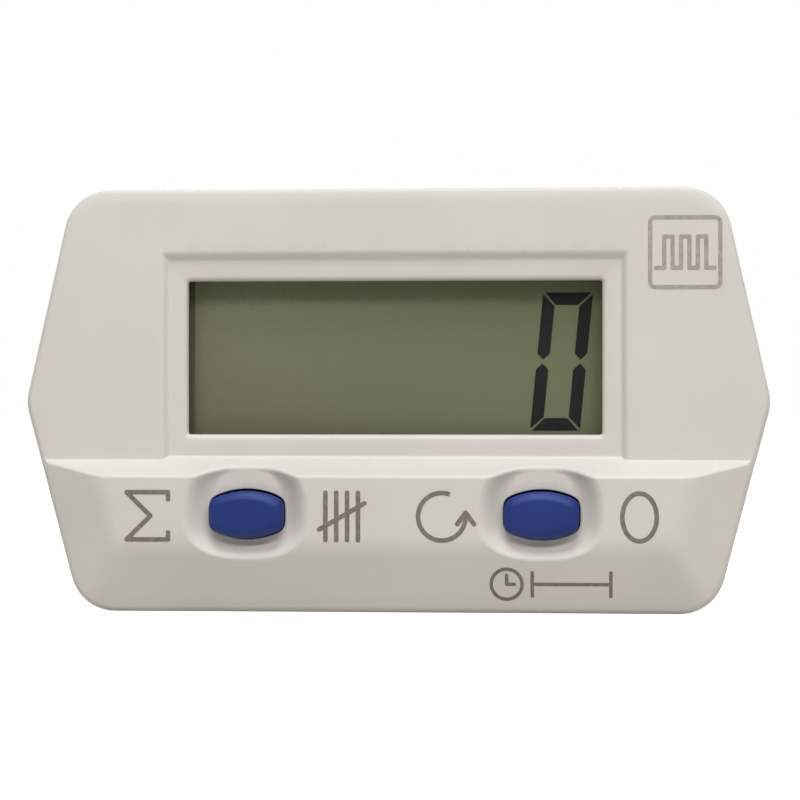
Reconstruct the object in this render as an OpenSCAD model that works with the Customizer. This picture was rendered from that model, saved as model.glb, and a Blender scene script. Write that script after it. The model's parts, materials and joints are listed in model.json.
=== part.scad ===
// Digital pulse counter: an ivory case with a liquid crystal display above a hipped ridge,
// two press buttons in dishes on the ridge, and a coin cell under a twist cover at the rear.
// Millimetres. +X is to the right, +Y to the rear and +Z up, as the display is read.
// The origin lies under the middle of the case, halfway through its depth.

/* [Case] */
// Width over the waist, the widest point of the sides
case_w = 72; // [68:0.5:84]
// Height of the case
case_h = 41; // [40:0.5:50]
// Depth from the upper face to the rear face
case_d = 18; // [17.5:0.5:24]
// How far each side leans in from the waist to the top corner
top_lean = 3.65; // [2:0.05:5]
// How far each side leans in from the waist to the bottom corner
base_lean = 4.2; // [2:0.05:5]
// How far the waist lies below mid-height
waist_drop = 0.1; // [-2:0.1:2]
// Radius of the outline's corners
corner_r = 4.5; // [4:0.1:6]
// Rounding of the front edge
front_edge_r = 1.2; // [0.4:0.1:1.4]
// Rounding of the rear edge
rear_edge_r = 1; // [0.4:0.1:1.4]
// Thickness of the side walls
wall = 2; // [1.6:0.1:2.4]
// Thickness of the front wall
front_wall = 2.2; // [2:0.1:3]
// Thickness of the rear wall
rear_wall = 2.2; // [2:0.1:3]
// Depth of the lip that joins the two covers
lip_h = 1.2; // [0.8:0.1:1.6]
// Gap between the circuit board and the joint of the covers
split_gap = 0.4; // [0.2:0.1:0.8]

/* [Ridge] */
// Rise of the ridge above the upper face
ridge_h = 2.4; // [1.8:0.1:3]
// Height of the ridge's flat top
plateau_h = 6.8; // [5.6:0.1:7.6]
// How far the flat top's middle lies above the buttons
plateau_rise = 0.35; // [0:0.05:0.6]
// Height taken up by the upper slope
ridge_upper_run = 1.45; // [1.2:0.05:2.4]
// Width taken up by each side slope
ridge_side_run = 5.7; // [4:0.1:7]

/* [Display] */
// Width of the display glass
glass_w = 45; // [40:0.1:47]
// Height of the front glass
glass_h = 20; // [17:0.1:22]
// Distance from the glass's sides to the display opening
view_inset_w = 2.4; // [2.3:0.05:4]
// Distance from the glass's top and bottom to the display opening
view_inset_h = 2.55; // [2.3:0.05:4]
// Width of the sunk border round the opening, out to the upper face
border_w = 2.55; // [2:0.05:3]
// How far the sunk border's middle lies above the display's
recess_rise = 0.05; // [0:0.05:0.6]
// Depth of the sunk border
recess_depth = 0.8; // [0.5:0.1:1]
// Width of the slope around the sunk border
recess_run = 0.6; // [0.3:0.1:0.8]
// How far the lens laps behind the opening's edge
lens_lap = 1.2; // [0.8:0.1:1.4]
// Thickness of the lens
lens_t = 1; // [0.8:0.1:1.5]
// Thickness of the adhesive frame behind the front wall
tape_t = 0.2; // [0.1:0.05:0.4]
// Thickness of the ribs that locate the lens and press on the glass
rib_t = 0.9; // [0.6:0.1:1]
// Thickness of each sheet of glass
glass_t = 1.1; // [0.7:0.1:1.2]
// Height of the contact ledge at the top and bottom of the front glass
glass_ledge = 1.6; // [1.2:0.1:1.8]
// Thickness of the polariser and of the reflector
film_t = 0.2; // [0.1:0.05:0.3]
// Height of the elastomer contact strips
strip_h = 3.15; // [2.6:0.05:4]
// Thickness of the display frame's walls
frame_t = 1; // [0.8:0.1:1.1]

/* [Buttons] */
// Distance of each button from the middle of the case
button_x = 14.2; // [11:0.1:17]
// Width of a button
button_w = 7.2; // [6.5:0.05:8]
// Height of a button
button_h = 4.55; // [4.2:0.05:5]
// How far a button stands proud of the ridge
button_proud = 0.3; // [0.2:0.1:1]
// Rounding of a button's front edge
button_crown = 0.75; // [0.4:0.05:1]
// Gap between a button and its hole
button_gap = 0.2; // [0.12:0.01:0.3]
// Travel of a button
button_travel = 0.5; // [0.3:0.05:0.6]
// Width of a button's retaining flange
flange_w = 0.9; // [0.6:0.1:1]
// Thickness of a button's retaining flange
flange_t = 0.8; // [0.6:0.1:1]
// Width of a dish at the ridge's top
dish_w = 12.2; // [11:0.1:13]
// Height of a dish at the ridge's top
dish_h = 10; // [9:0.1:10.4]
// How far a dish's middle lies above its button
dish_rise = 0.4; // [0.2:0.05:0.6]
// Depth of a dish
dish_depth = 1.5; // [1:0.1:2]
// Width of the slope around a dish
dish_run = 1.4; // [0.4:0.1:1.6]

/* [Board] */
// Thickness of the circuit board
board_t = 1.6; // [1:0.1:2]
// Gap between the circuit board and the side walls
board_gap = 1; // [0.6:0.1:1.4]
// Width of a push switch
switch_w = 6; // [5:0.1:6.2]
// Height of a push switch's base and plate
switch_h = 3.5; // [3:0.1:3.8]
// Radius of a switch's plunger
plunger_r = 1.75; // [1.4:0.05:1.9]
// Height of a plunger's tip above the board
plunger_h = 4.4; // [4.3:0.1:4.6]
// Width of the counter chip
chip_w = 7; // [5:0.5:8]

/* [Power and input] */
// Radius of the coin cell
cell_r = 10; // [8:0.5:10]
// Height of the coin cell
cell_h = 3.2; // [2:0.1:3.2]
// How far the coin cell's middle lies above mid-height
cell_rise = 1.5; // [0:0.1:2]
// Thickness of the twist cover's disc
cover_t = 1.2; // [1:0.1:1.3]
// Twist of the cover from locked to release, in degrees
cover_twist = 40; // [30:1:50]
// Distance of the lead inlet from the middle of the case
inlet_x = 14; // [10:0.5:18]
// Radius of the lead inlet's bore
inlet_bore_r = 1.3; // [1:0.05:1.4]
// Thickness of the rubber between the bore and the wall
inlet_rubber = 0.7; // [0.6:0.05:0.8]
// Width and thickness of the inlet's rubber flanges
inlet_flange = 0.7; // [0.5:0.05:0.8]

/* [Fixings] */
// Radius of the case screws' shanks
case_screw_r = 1.25; // [1:0.05:1.4]
// Radius of the board screws' shanks
board_screw_r = 0.8; // [0.6:0.05:1]
// Height of the case screws from the corners' centres
case_screw_shift = 1.2; // [1:0.1:1.6]
// Distance between the mounting inserts
insert_spacing = 44; // [40:0.5:46]
// Outer radius of a mounting insert
insert_r = 2.1; // [1.9:0.05:2.4]
// Radius of a mounting insert's threaded bore
insert_bore_r = 1.25; // [1:0.05:1.5]
// Length of a mounting insert
insert_len = 4; // [3:0.1:4.4]

/* [Hidden] */
$fn = 48;

// Fits shared by the pieces
snug = 0.05;
slip = 0.1;
loose = 0.15;
over = 1;
sliver = 0.01;

// Depths, from the front to the rear
y_rear = (case_d + ridge_h + button_proud) / 2;
y_face = y_rear - case_d;
y_plateau = y_face - ridge_h;
y_press = y_plateau - button_proud;
y_dish = y_plateau + dish_depth;
y_recess = y_face + recess_depth;
y_inner = y_face + front_wall;
y_lens = y_inner + tape_t;
y_polariser = y_lens + lens_t + loose;
y_glass = y_polariser + film_t;
y_rear_glass = y_glass + glass_t;
y_reflector = y_rear_glass + glass_t;
y_board = y_rear_glass + strip_h;
y_board_rear = y_board + board_t;
y_split = y_board_rear + split_gap;
y_rear_inner = y_rear - rear_wall;

// Outline of the case: six corners, counter-clockwise from the lower left as seen from the front
waist_x = case_w / 2 - corner_r;
waist_z = case_h / 2 - waist_drop;
base_x = waist_x - base_lean;
top_x = waist_x - top_lean;
corners = [
    [-base_x, corner_r],
    [base_x, corner_r],
    [waist_x, waist_z],
    [top_x, case_h - corner_r],
    [-top_x, case_h - corner_r],
    [-waist_x, waist_z]];
corner_steps = 8;
function side_turn(i) = let(d = corners[(i + 1) % 6] - corners[i % 6]) atan2(d[1], d[0]) - 90;
function corner_turn(i) = (side_turn(i) - side_turn(i + 5) + 720) % 360;
function corner_arc(i, r) = [for (k = [0 : corner_steps])
    let(a = side_turn(i + 5) + corner_turn(i) * k / corner_steps) corners[i] + r * [cos(a), sin(a)]];

// Lower sides of the case, as a straight line in the front view
lower_lean = base_lean / (waist_z - corner_r);
lower_stretch = sqrt(1 + pow(lower_lean, 2));
function lower_side_x(z) = base_x + lower_lean * (z - corner_r) + corner_r * lower_stretch;

// Display opening, sunk border, lens and frame
window_w = glass_w - 2 * view_inset_w;
window_h = glass_h - 2 * view_inset_h;
recess_w = window_w + 2 * border_w;
recess_h = window_h + 2 * border_w;
lens_w = window_w + 2 * lens_lap;
lens_h = window_h + 2 * lens_lap;
frame_w = glass_w + 2 * (loose + frame_t);
frame_h = glass_h + 2 * (loose + frame_t);

// Heights of the buttons and of the display, which share the height that the switches and frame leave
spare_h = case_h - 2 * wall - switch_w - frame_h;
share_below_switches = 0.517;
share_above_switches = 0.115;
button_z = wall + share_below_switches * spare_h + switch_w / 2;
display_z = button_z + switch_w / 2 + share_above_switches * spare_h + frame_h / 2;

// Heights of the ridge's slopes
plateau_z = button_z + plateau_rise;
ridge_z = plateau_z + plateau_h / 2 + ridge_upper_run;
ridge_lower_run = plateau_z - plateau_h / 2;

// Barrel outline of the buttons: straight ends, rounded corners, and a bowed top and bottom.
// The bow is the share of the half height that is lost at the ends.
barrel_bow = 0.4;
barrel_power = 8;
loop_steps = 48;
function bow_level(a) = (abs(sin(a)) + sqrt(pow(sin(a), 2) + 4 * barrel_bow * pow(cos(a), 2))) / 2;
function barrel_reach(a) =
    pow(pow(abs(cos(a)), barrel_power) + pow(bow_level(a), barrel_power), -1 / barrel_power);

// Oval outline of the dishes
oval_power = 2.45;
function bulge(v) = sign(v) * pow(abs(v), 2 / oval_power);

// Inset and depth of an arc of radius 1 at its middle, where a rounding turns to 45 degrees
arc_mid = 1 - cos(45);

// Places of the buttons and of the board screws
button_at = [[-button_x, button_z], [button_x, button_z]];
board_screw_share = 0.45;
board_screw_rise = board_screw_share * (waist_z - corner_r);
board_screw_x = (frame_w / 2 + lower_side_x(waist_z - board_screw_rise) - wall * lower_stretch) / 2;
board_screw_at = [for (sx = [-1, 1], sz = [-1, 1])
    [sx * board_screw_x, waist_z + sz * board_screw_rise]];

// Case screws
case_boss_wall = 1.45;
case_boss_r = case_screw_r + case_boss_wall;
case_boss_gap = 0.3;
case_screw_x = frame_w / 2 + case_boss_gap + case_boss_r;
case_screw_inset = corner_r + case_screw_shift;
case_screw_at = [for (sx = [-1, 1], z = [case_screw_inset, case_h - case_screw_inset])
    [sx * case_screw_x, z]];
case_post_wall = 1.95;
case_post_r = case_screw_r + case_post_wall;
case_head_rim = 0.95;
case_head_r = case_screw_r + case_head_rim;
case_head_h = 1.6;
case_head_sunk = 0.6;
y_case_seat = y_rear - case_head_sunk - case_head_h;
case_bite = 7;

// Board screws
board_boss_wall = 1.4;
board_boss_r = board_screw_r + board_boss_wall;
board_head_rim = 1.1;
board_head_r = board_screw_r + board_head_rim;
board_hole_gap = 0.3;
board_head_h = 1.4;
board_bite = 4;

// Display frame's locating pegs, and the strips under the glass's ledges
strip_w = glass_ledge - 2 * slip;
peg_r = 0.9;
peg_out = 1;
peg_at = [for (sx = [-1, 1]) [sx * (frame_w / 2 + peg_out), waist_z]];
peg_len = 1.4;
ear_r = 1.8;
tape_gap = 0.2;

// Push switches
plate_t = 0.25;
collar_w = 0.35;
collar_t = 0.7;
y_plate = y_board - switch_h;
y_plunger = y_board - plunger_h;
y_collar = y_plate + plate_t + slip;
well_gap = 0.3;
switch_well_r = plunger_r + collar_w + well_gap;
y_well = y_collar + collar_t + button_travel + well_gap;
leg_w = 0.7;
leg_len = 1.2;
leg_rise = 2.25;

// Coin cell, holder, contacts and twist cover
cell_at = [0, case_h / 2 + cell_rise];
cell_stand = 1.4;
cell_cap_step = 1.2;
cell_cap_r = cell_r - cell_cap_step;
cell_cap_h = 0.4;
y_cell = y_board_rear + cell_stand;
y_cell_rear = y_cell + cell_h;
holder_t = 1.4;
holder_seat = 0.9;
holder_h = 3.6;
contact_t = 0.3;
contact_w = 4;
leaf_foot = 6.2;
leaf_toe = 2.2;
spring_foot = 2.4;
bay_gap = 1.5;
bay_r = cell_r + bay_gap;
plug_gap = 0.3;
plug_r = bay_r - plug_gap;
disc_lap = 1.3;
disc_r = bay_r + disc_lap;
disc_gap = 0.2;
y_disc = y_rear - cover_t;
lug_reach = 1.3;
lug_w = 5;
lug_t = 1.1;
stop_w = 1.2;
stop_turn = asin((lug_w + stop_w + 2 * disc_gap) / 2 / bay_r);
slot_len = 14;
slot_w = 2;
slot_depth = 0.7;

// Input terminal on the board, above the lead inlet
terminal_w = 8.4;
terminal_h = 5.6;
terminal_t = 4.2;
terminal_edge = 1.55;
terminal_at = [inlet_x, wall + board_gap + terminal_edge + terminal_h / 2];
y_entry = y_board_rear + terminal_t / 2;
y_terminal = y_board_rear + terminal_t;
entry_r = 0.9;
entry_x = 2.1;
clamp_r = 1.1;
clamp_rise = 1;
clamp_slot_w = 0.4;
clamp_slot_depth = 0.7;
clamp_at = [for (sx = [-1, 1]) terminal_at + [sx * entry_x, clamp_rise]];

// Counter chip, crystal and small parts on the rear of the board
chip_inset = 17;
chip_x = chip_inset - case_w / 2;
chip_drop = 8;
chip_at = [chip_x, cell_at[1] - chip_drop];
chip_t = 1.6;
lead_count = 6;
lead_pitch = 1;
lead_w = 0.45;
lead_reach = 1;
crystal_r = 1.05;
crystal_len = 6;
crystal_gap = 1.45;
crystal_drop = 9;
crystal_at = [case_post_r + crystal_gap + crystal_len / 2 - case_screw_x, case_h - crystal_drop];
part_w = 2;
part_h = 1.25;
part_t = 0.9;
part_pitch = 3.4;
part_gap = 2.3;
part_at = [for (row = [0, 1], column = [0 : 2])
    terminal_at + [column * part_pitch, terminal_h / 2 + part_gap + row * part_pitch]];

// Lead inlet in the bottom wall
inlet_neck_r = inlet_bore_r + inlet_rubber;
inlet_flange_r = inlet_neck_r + inlet_flange;
y_inlet = (y_split + y_rear_inner) / 2;
inlet_h = wall + inlet_flange;

// Mounting inserts
insert_at = [for (sx = [-1, 1]) [sx * insert_spacing / 2, cell_at[1]]];
insert_boss_wall = 1.4;
insert_boss_r = insert_r + insert_boss_wall;
insert_floor = 0.8;
groove_depth = 0.25;
groove_w = 0.8;
y_groove = y_rear - insert_len / 2;

// Crossed recess of a screw, as shares of its head's radius
cross_width = 0.28;
cross_length = 1.2;

// Extrudes a front-view outline between two depths
module slab(front, rear) {
    translate([0, rear, 0]) rotate([90, 0, 0]) linear_extrude(rear - front) children();
}

// Round bar along the depth, at a place in the front view
module bar(at, r, front, rear) {
    translate([at[0], rear, at[1]]) rotate([90, 0, 0]) cylinder(r = r, h = rear - front);
}

// Box centred on a place in the front view
module block(w, h, at, front, rear) {
    translate([at[0] - w / 2, front, at[1] - h / 2]) cube([w, rear - front, h]);
}

// Extrudes a side-view outline, given as depth and height, across the case
module across(width) {
    translate([-width / 2, 0, 0]) rotate([90, 0, 90]) linear_extrude(width) children();
}

module case_outline(inset) {
    polygon([for (i = [0 : 5]) each corner_arc(i, corner_r - inset)]);
}

module barrel_slab(at, w, h, front, rear) {
    translate([at[0], 0, at[1]]) slab(front, rear) polygon([for (k = [0 : loop_steps - 1])
        let(a = 360 * k / loop_steps) barrel_reach(a) * [w / 2 * cos(a), h / 2 * sin(a)]]);
}

module oval_slab(at, w, h, front, rear) {
    translate([at[0], 0, at[1]]) slab(front, rear) polygon([for (k = [0 : loop_steps - 1])
        let(a = 360 * k / loop_steps) [w / 2 * bulge(cos(a)), h / 2 * bulge(sin(a))]]);
}

// Body of the front cover before the front is cut, with its front edge rounded
module front_body() {
    soft = arc_mid * front_edge_r;
    hull() {
        slab(y_face + front_edge_r, y_split) case_outline(0);
        slab(y_face + soft, y_face + soft + sliver) case_outline(soft);
        slab(y_plateau, y_plateau + sliver) case_outline(2 * soft + ridge_h);
    }
}

// Body of the rear cover before it is hollowed, with its rear edge rounded
module rear_body() {
    soft = arc_mid * rear_edge_r;
    hull() {
        slab(y_split, y_rear - rear_edge_r) case_outline(0);
        slab(y_rear - soft - sliver, y_rear - soft) case_outline(soft);
        slab(y_rear - sliver, y_rear) case_outline(rear_edge_r);
    }
}

// Space in front of the upper face and of the ridge's upper and lower slopes
module slope_spaces() {
    upper = ridge_upper_run / ridge_h;
    lower = ridge_lower_run / ridge_h;
    y_front = y_plateau - over;
    across(2 * case_w) polygon([
        [y_front, ridge_z - ridge_upper_run - over * upper],
        [y_face, ridge_z],
        [y_face, case_h + over],
        [y_front, case_h + over]]);
    across(2 * case_w) polygon([
        [y_front, ridge_lower_run + over * lower],
        [y_face + over, -over * lower],
        [y_front, -over * lower]]);
}

// Space in front of the ridge's right side slope
module side_space() {
    run = ridge_side_run / lower_stretch;
    lean = ridge_h / run;
    translate([lower_side_x(0), 0, 0]) rotate([0, atan(lower_lean), 0])
        translate([0, 0, -case_h]) linear_extrude(3 * case_h) polygon([
            [over, y_face + over * lean],
            [-run - over, y_plateau - over * lean],
            [over, y_plateau - over * lean]]);
}

// Sunk border round the display, with sloped sides
module recess_space() {
    at = [0, display_z + recess_rise];
    ahead = over / 2;
    spread = 2 * recess_run * (1 + ahead / recess_depth);
    floor_w = recess_w - 2 * recess_run;
    floor_h = recess_h - 2 * recess_run;
    hull() {
        block(floor_w + spread, floor_h + spread, at, y_face - ahead, y_face - ahead + sliver);
        block(floor_w, floor_h, at, y_recess - sliver, y_recess);
    }
}

// Dish round a button, with sloped sides
module dish_space(at) {
    middle = at + [0, dish_rise];
    hull() {
        oval_slab(middle, dish_w, dish_h, y_plateau - over, y_plateau);
        oval_slab(middle, dish_w - 2 * dish_run, dish_h - 2 * dish_run, y_dish - sliver, y_dish);
    }
}

module front_shell() {
    difference() {
        front_body();
        slope_spaces();
        side_space();
        mirror([1, 0, 0]) side_space();
        slab(y_inner, y_split + over) case_outline(wall);
        slab(y_split - lip_h - slip, y_split + over) case_outline(wall / 2);
    }
}

module lens_ribs() {
    inner_w = lens_w + 2 * loose;
    inner_h = lens_h + 2 * loose;
    difference() {
        block(inner_w + 2 * rib_t, inner_h + 2 * rib_t, [0, display_z], y_inner - over, y_glass);
        block(inner_w, inner_h, [0, display_z], y_inner - 2 * over, y_glass + over);
    }
}

module front_cover() {
    color([0.86, 0.84, 0.79]) difference() {
        union() {
            front_shell();
            lens_ribs();
            for (at = case_screw_at) bar(at, case_boss_r, y_inner - over, y_split - slip);
            for (at = board_screw_at) bar(at, board_boss_r, y_inner - over, y_board);
        }
        recess_space();
        block(window_w, window_h, [0, display_z], y_face - over, y_inner);
        for (at = button_at) {
            dish_space(at);
            barrel_slab(at, button_w + 2 * button_gap, button_h + 2 * button_gap,
                y_face - over, y_inner + over);
        }
        for (at = case_screw_at) bar(at, case_screw_r + snug, y_split - case_bite - 2 * slip, y_split);
        for (at = board_screw_at)
            bar(at, board_screw_r + snug, y_board - board_bite - slip, y_board + over);
    }
}

// Turns a shape about the cell's axis
module swung(angle) {
    translate([cell_at[0], 0, cell_at[1]]) rotate([0, angle, 0]) children();
}

module lug(reach, width, front, rear) {
    intersection() {
        bar([0, 0], plug_r + reach, front, rear);
        translate([cell_r - over, front, -width / 2]) cube([2 * cell_r, rear - front, width]);
    }
}

// Blocks that stop the lugs at the locked end and at the release end
module lug_stops() {
    for (side = [0, 180], end = [-stop_turn, cover_twist + stop_turn])
        swung(side + end) translate([bay_r + slip, y_rear_inner - lug_t - slip, -stop_w / 2])
            cube([lug_reach, lug_t + slip + over / 2, stop_w]);
}

module rear_shell() {
    difference() {
        union() {
            difference() {
                rear_body();
                slab(y_split - over, y_rear_inner) case_outline(wall);
            }
            difference() {
                slab(y_split - lip_h, y_split + over) case_outline(wall / 2 + slip);
                slab(y_split - lip_h - over, y_split + 2 * over) case_outline(wall);
            }
            for (at = case_screw_at) bar(at, case_post_r, y_split, y_rear - sliver);
            for (at = insert_at)
                bar(at, insert_boss_r, y_rear - insert_len - insert_floor, y_rear - sliver);
        }
        for (at = case_screw_at) {
            bar(at, case_head_r + 2 * slip, y_case_seat, y_rear + over);
            bar(at, case_screw_r + loose, y_split - over, y_rear);
        }
        for (at = insert_at) bar(at, insert_r + snug, y_rear - insert_len, y_rear + over);
    }
}

module rear_cover() {
    color([0.84, 0.82, 0.77]) difference() {
        union() {
            rear_shell();
            lug_stops();
        }
        bar(cell_at, bay_r, y_rear_inner - over, y_rear + over);
        bar(cell_at, disc_r + disc_gap, y_disc, y_rear + over);
        for (side = [0, 180]) swung(side + cover_twist)
            lug(lug_reach + disc_gap, lug_w + 2 * disc_gap, y_rear_inner - sliver, y_rear);
        translate([inlet_x, y_inlet, -over]) cylinder(r = inlet_neck_r + snug, h = wall + 2 * over);
        translate([inlet_x, y_inlet, -over]) cylinder(r = inlet_flange_r + snug, h = inlet_flange + over);
    }
}

module display_lens() {
    color([0.8, 0.85, 0.85, 0.4]) block(lens_w, lens_h, [0, display_z], y_lens, y_lens + lens_t);
}

module lens_tape() {
    color([0.15, 0.15, 0.15]) difference() {
        block(lens_w, lens_h, [0, display_z], y_inner, y_lens);
        block(window_w + 2 * tape_gap, window_h + 2 * tape_gap, [0, display_z],
            y_inner - over, y_lens + over);
    }
}

module front_polariser() {
    color([0.4, 0.42, 0.34, 0.6]) block(lens_w, lens_h, [0, display_z], y_polariser, y_glass);
}

module front_glass() {
    color([0.6, 0.66, 0.62, 0.5]) block(glass_w, glass_h, [0, display_z], y_glass, y_rear_glass);
}

module rear_glass() {
    color([0.6, 0.66, 0.62, 0.5])
        block(glass_w, glass_h - 2 * glass_ledge, [0, display_z], y_rear_glass, y_reflector);
}

module reflector() {
    color([0.4, 0.42, 0.33]) block(lens_w, lens_h - 2 * glass_ledge, [0, display_z],
        y_reflector, y_reflector + film_t);
}

module display_frame() {
    color([0.9, 0.9, 0.88]) difference() {
        union() {
            block(frame_w, frame_h, [0, display_z], y_rear_glass - glass_t / 2, y_board);
            for (at = peg_at) {
                bar(at, ear_r, y_rear_glass, y_board);
                bar(at, peg_r, y_board - sliver, y_board + peg_len);
            }
        }
        block(glass_w + 2 * loose, glass_h + 2 * loose, [0, display_z], y_glass - over, y_board + over);
    }
}

module contact_strips() {
    strip_rise = (glass_h - glass_ledge) / 2;
    color([0.25, 0.25, 0.25]) for (sz = [-1, 1])
        block(window_w, strip_w, [0, display_z + sz * strip_rise], y_rear_glass, y_board);
}

module circuit_board() {
    color([0.12, 0.4, 0.2]) difference() {
        slab(y_board, y_board_rear) case_outline(wall + board_gap);
        for (at = case_screw_at)
            bar(at, case_post_r + board_gap / 2, y_board - over, y_board_rear + over);
        for (at = board_screw_at)
            bar(at, board_screw_r + board_hole_gap, y_board - over, y_board_rear + over);
        for (at = peg_at) bar(at, peg_r + slip, y_board - over, y_board_rear + over);
    }
}

module counter_chip() {
    color([0.1, 0.1, 0.1]) block(chip_w, chip_w, chip_at, y_board_rear + slip, y_board_rear + chip_t);
}

module chip_leads() {
    row = (lead_count - 1) * lead_pitch;
    reach = chip_w / 2 + lead_reach / 2;
    color([0.75, 0.75, 0.75]) for (side = [-1, 1], i = [0 : lead_count - 1]) {
        step = i * lead_pitch - row / 2;
        block(lead_w, lead_reach, chip_at + [step, side * reach], y_board_rear, y_board_rear + 2 * slip);
        block(lead_reach, lead_w, chip_at + [side * reach, step], y_board_rear, y_board_rear + 2 * slip);
    }
}

module timing_crystal() {
    color([0.8, 0.8, 0.78])
        translate([crystal_at[0] - crystal_len / 2, y_board_rear + crystal_r + snug, crystal_at[1]])
            rotate([0, 90, 0]) cylinder(r = crystal_r, h = crystal_len);
}

module chip_parts() {
    color([0.55, 0.45, 0.33]) for (at = part_at)
        block(part_w, part_h, at, y_board_rear, y_board_rear + part_t);
}

module switch_base(at) {
    color([0.12, 0.12, 0.12]) difference() {
        block(switch_w, switch_w, at, y_plate + plate_t, y_board);
        bar(at, switch_well_r, y_plate, y_well);
    }
}

module total_switch() {
    switch_base(button_at[0]);
}

module reset_switch() {
    switch_base(button_at[1]);
}

module switch_plates() {
    color([0.75, 0.75, 0.76]) for (at = button_at) difference() {
        block(switch_w, switch_w, at, y_plate, y_plate + plate_t);
        bar(at, plunger_r + slip, y_plate - over, y_plate + over);
    }
}

module switch_legs() {
    leg_x = (switch_w + leg_len) / 2;
    color([0.78, 0.76, 0.7]) for (at = button_at, sx = [-1, 1], sz = [-1, 1])
        block(leg_len, leg_w, at + [sx * leg_x, sz * leg_rise], y_board - plate_t, y_board);
}

module plunger(at) {
    color([0.2, 0.2, 0.2]) {
        bar(at, plunger_r, y_plunger, y_collar + collar_t);
        bar(at, plunger_r + collar_w, y_collar, y_collar + collar_t);
    }
}

module total_plunger() {
    plunger(button_at[0]);
}

module reset_plunger() {
    plunger(button_at[1]);
}

module button(at) {
    y_flange = y_inner + slip;
    soft = arc_mid * button_crown;
    y_soft = y_press + soft;
    crown_w = button_w - 2 * button_crown;
    crown_h = button_h - 2 * button_crown;
    color([0.18, 0.22, 0.42]) {
        hull() {
            barrel_slab(at, crown_w, crown_h, y_press, y_press + sliver);
            barrel_slab(at, button_w - 2 * soft, button_h - 2 * soft, y_soft, y_soft + sliver);
            barrel_slab(at, button_w, button_h, y_press + button_crown, y_flange);
        }
        barrel_slab(at, button_w + 2 * flange_w, button_h + 2 * flange_w,
            y_flange, y_flange + flange_t);
        bar(at, plunger_r - slip, y_flange, y_plunger);
    }
}

module total_button() {
    button(button_at[0]);
}

module reset_button() {
    button(button_at[1]);
}

module cell_holder() {
    inner_r = cell_r + loose;
    color([0.15, 0.15, 0.16]) difference() {
        bar(cell_at, inner_r + holder_t, y_board_rear, y_board_rear + holder_h);
        bar(cell_at, cell_r - holder_seat, y_board_rear - over, y_cell_rear);
        bar(cell_at, inner_r, y_cell + cell_cap_h, y_cell_rear);
        block(cell_r, contact_w + 4 * slip, cell_at + [cell_r, 0],
            y_board_rear - over, y_cell_rear);
    }
}

module coin_cell() {
    color([0.8, 0.8, 0.8]) {
        bar(cell_at, cell_cap_r, y_cell, y_cell + cell_cap_h);
        bar(cell_at, cell_r, y_cell + cell_cap_h, y_cell_rear);
    }
}

// Leaf that lies on the board and rises to the cell's cap
module negative_leaf() {
    color([0.85, 0.78, 0.5]) translate([cell_at[0], 0, cell_at[1] - contact_w / 2])
        linear_extrude(contact_w) polygon([
            [-leaf_foot, y_board_rear],
            [0, y_board_rear],
            [leaf_toe, y_cell - contact_t],
            [leaf_foot, y_cell - contact_t],
            [leaf_foot, y_cell],
            [leaf_toe - contact_t, y_cell],
            [-contact_t, y_board_rear + contact_t],
            [-leaf_foot, y_board_rear + contact_t]]);
}

// Spring that stands on the board and presses on the cell's edge
module positive_spring() {
    near = cell_at[0] + cell_r + snug;
    color([0.85, 0.78, 0.5]) translate([near, 0, cell_at[1] - contact_w / 2])
        linear_extrude(contact_w) polygon([
            [0, y_board_rear],
            [spring_foot, y_board_rear],
            [spring_foot, y_board_rear + contact_t],
            [contact_t, y_board_rear + contact_t],
            [contact_t, y_board_rear + holder_h],
            [0, y_board_rear + holder_h]]);
}

module cell_cover() {
    y_lug = y_rear_inner - slip - lug_t;
    color([0.82, 0.8, 0.75]) difference() {
        union() {
            bar(cell_at, disc_r, y_disc, y_rear);
            bar(cell_at, plug_r, y_cell_rear + slip, y_disc + sliver);
            for (side = [0, 180]) swung(side) lug(lug_reach, lug_w, y_lug, y_lug + lug_t);
        }
        block(slot_len, slot_w, cell_at, y_rear - slot_depth, y_rear + over);
    }
}

module input_terminal() {
    z_low = terminal_at[1] - terminal_h / 2;
    color([0.2, 0.42, 0.3]) difference() {
        block(terminal_w, terminal_h, terminal_at, y_board_rear, y_terminal);
        for (at = clamp_at) {
            translate([at[0], y_entry, z_low - over]) cylinder(r = entry_r, h = terminal_h / 2 + over);
            bar(at, clamp_r + slip, y_entry, y_terminal + over);
        }
    }
}

module terminal_clamps() {
    color([0.75, 0.75, 0.72]) for (at = clamp_at) difference() {
        bar(at, clamp_r, y_entry, y_terminal - 2 * slip);
        block(2 * clamp_r + over, clamp_slot_w, at, y_terminal - clamp_slot_depth, y_terminal);
    }
}

// Rubber inlet, flush with the bottom of the case
module cable_inlet() {
    color([0.1, 0.1, 0.1]) translate([inlet_x, y_inlet, 0]) difference() {
        union() {
            cylinder(r = inlet_flange_r, h = inlet_flange);
            cylinder(r = inlet_neck_r, h = inlet_h);
            translate([0, 0, wall]) cylinder(r = inlet_flange_r, h = inlet_flange);
        }
        translate([0, 0, -over]) cylinder(r = inlet_bore_r, h = inlet_h + 2 * over);
    }
}

module mount_inserts() {
    color([0.78, 0.62, 0.3]) for (at = insert_at) difference() {
        union() {
            bar(at, insert_r - groove_depth, y_rear - insert_len, y_rear);
            bar(at, insert_r, y_rear - insert_len, y_groove - groove_w / 2);
            bar(at, insert_r, y_groove + groove_w / 2, y_rear);
        }
        bar(at, insert_bore_r, y_rear - insert_len - over, y_rear + over);
    }
}

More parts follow.
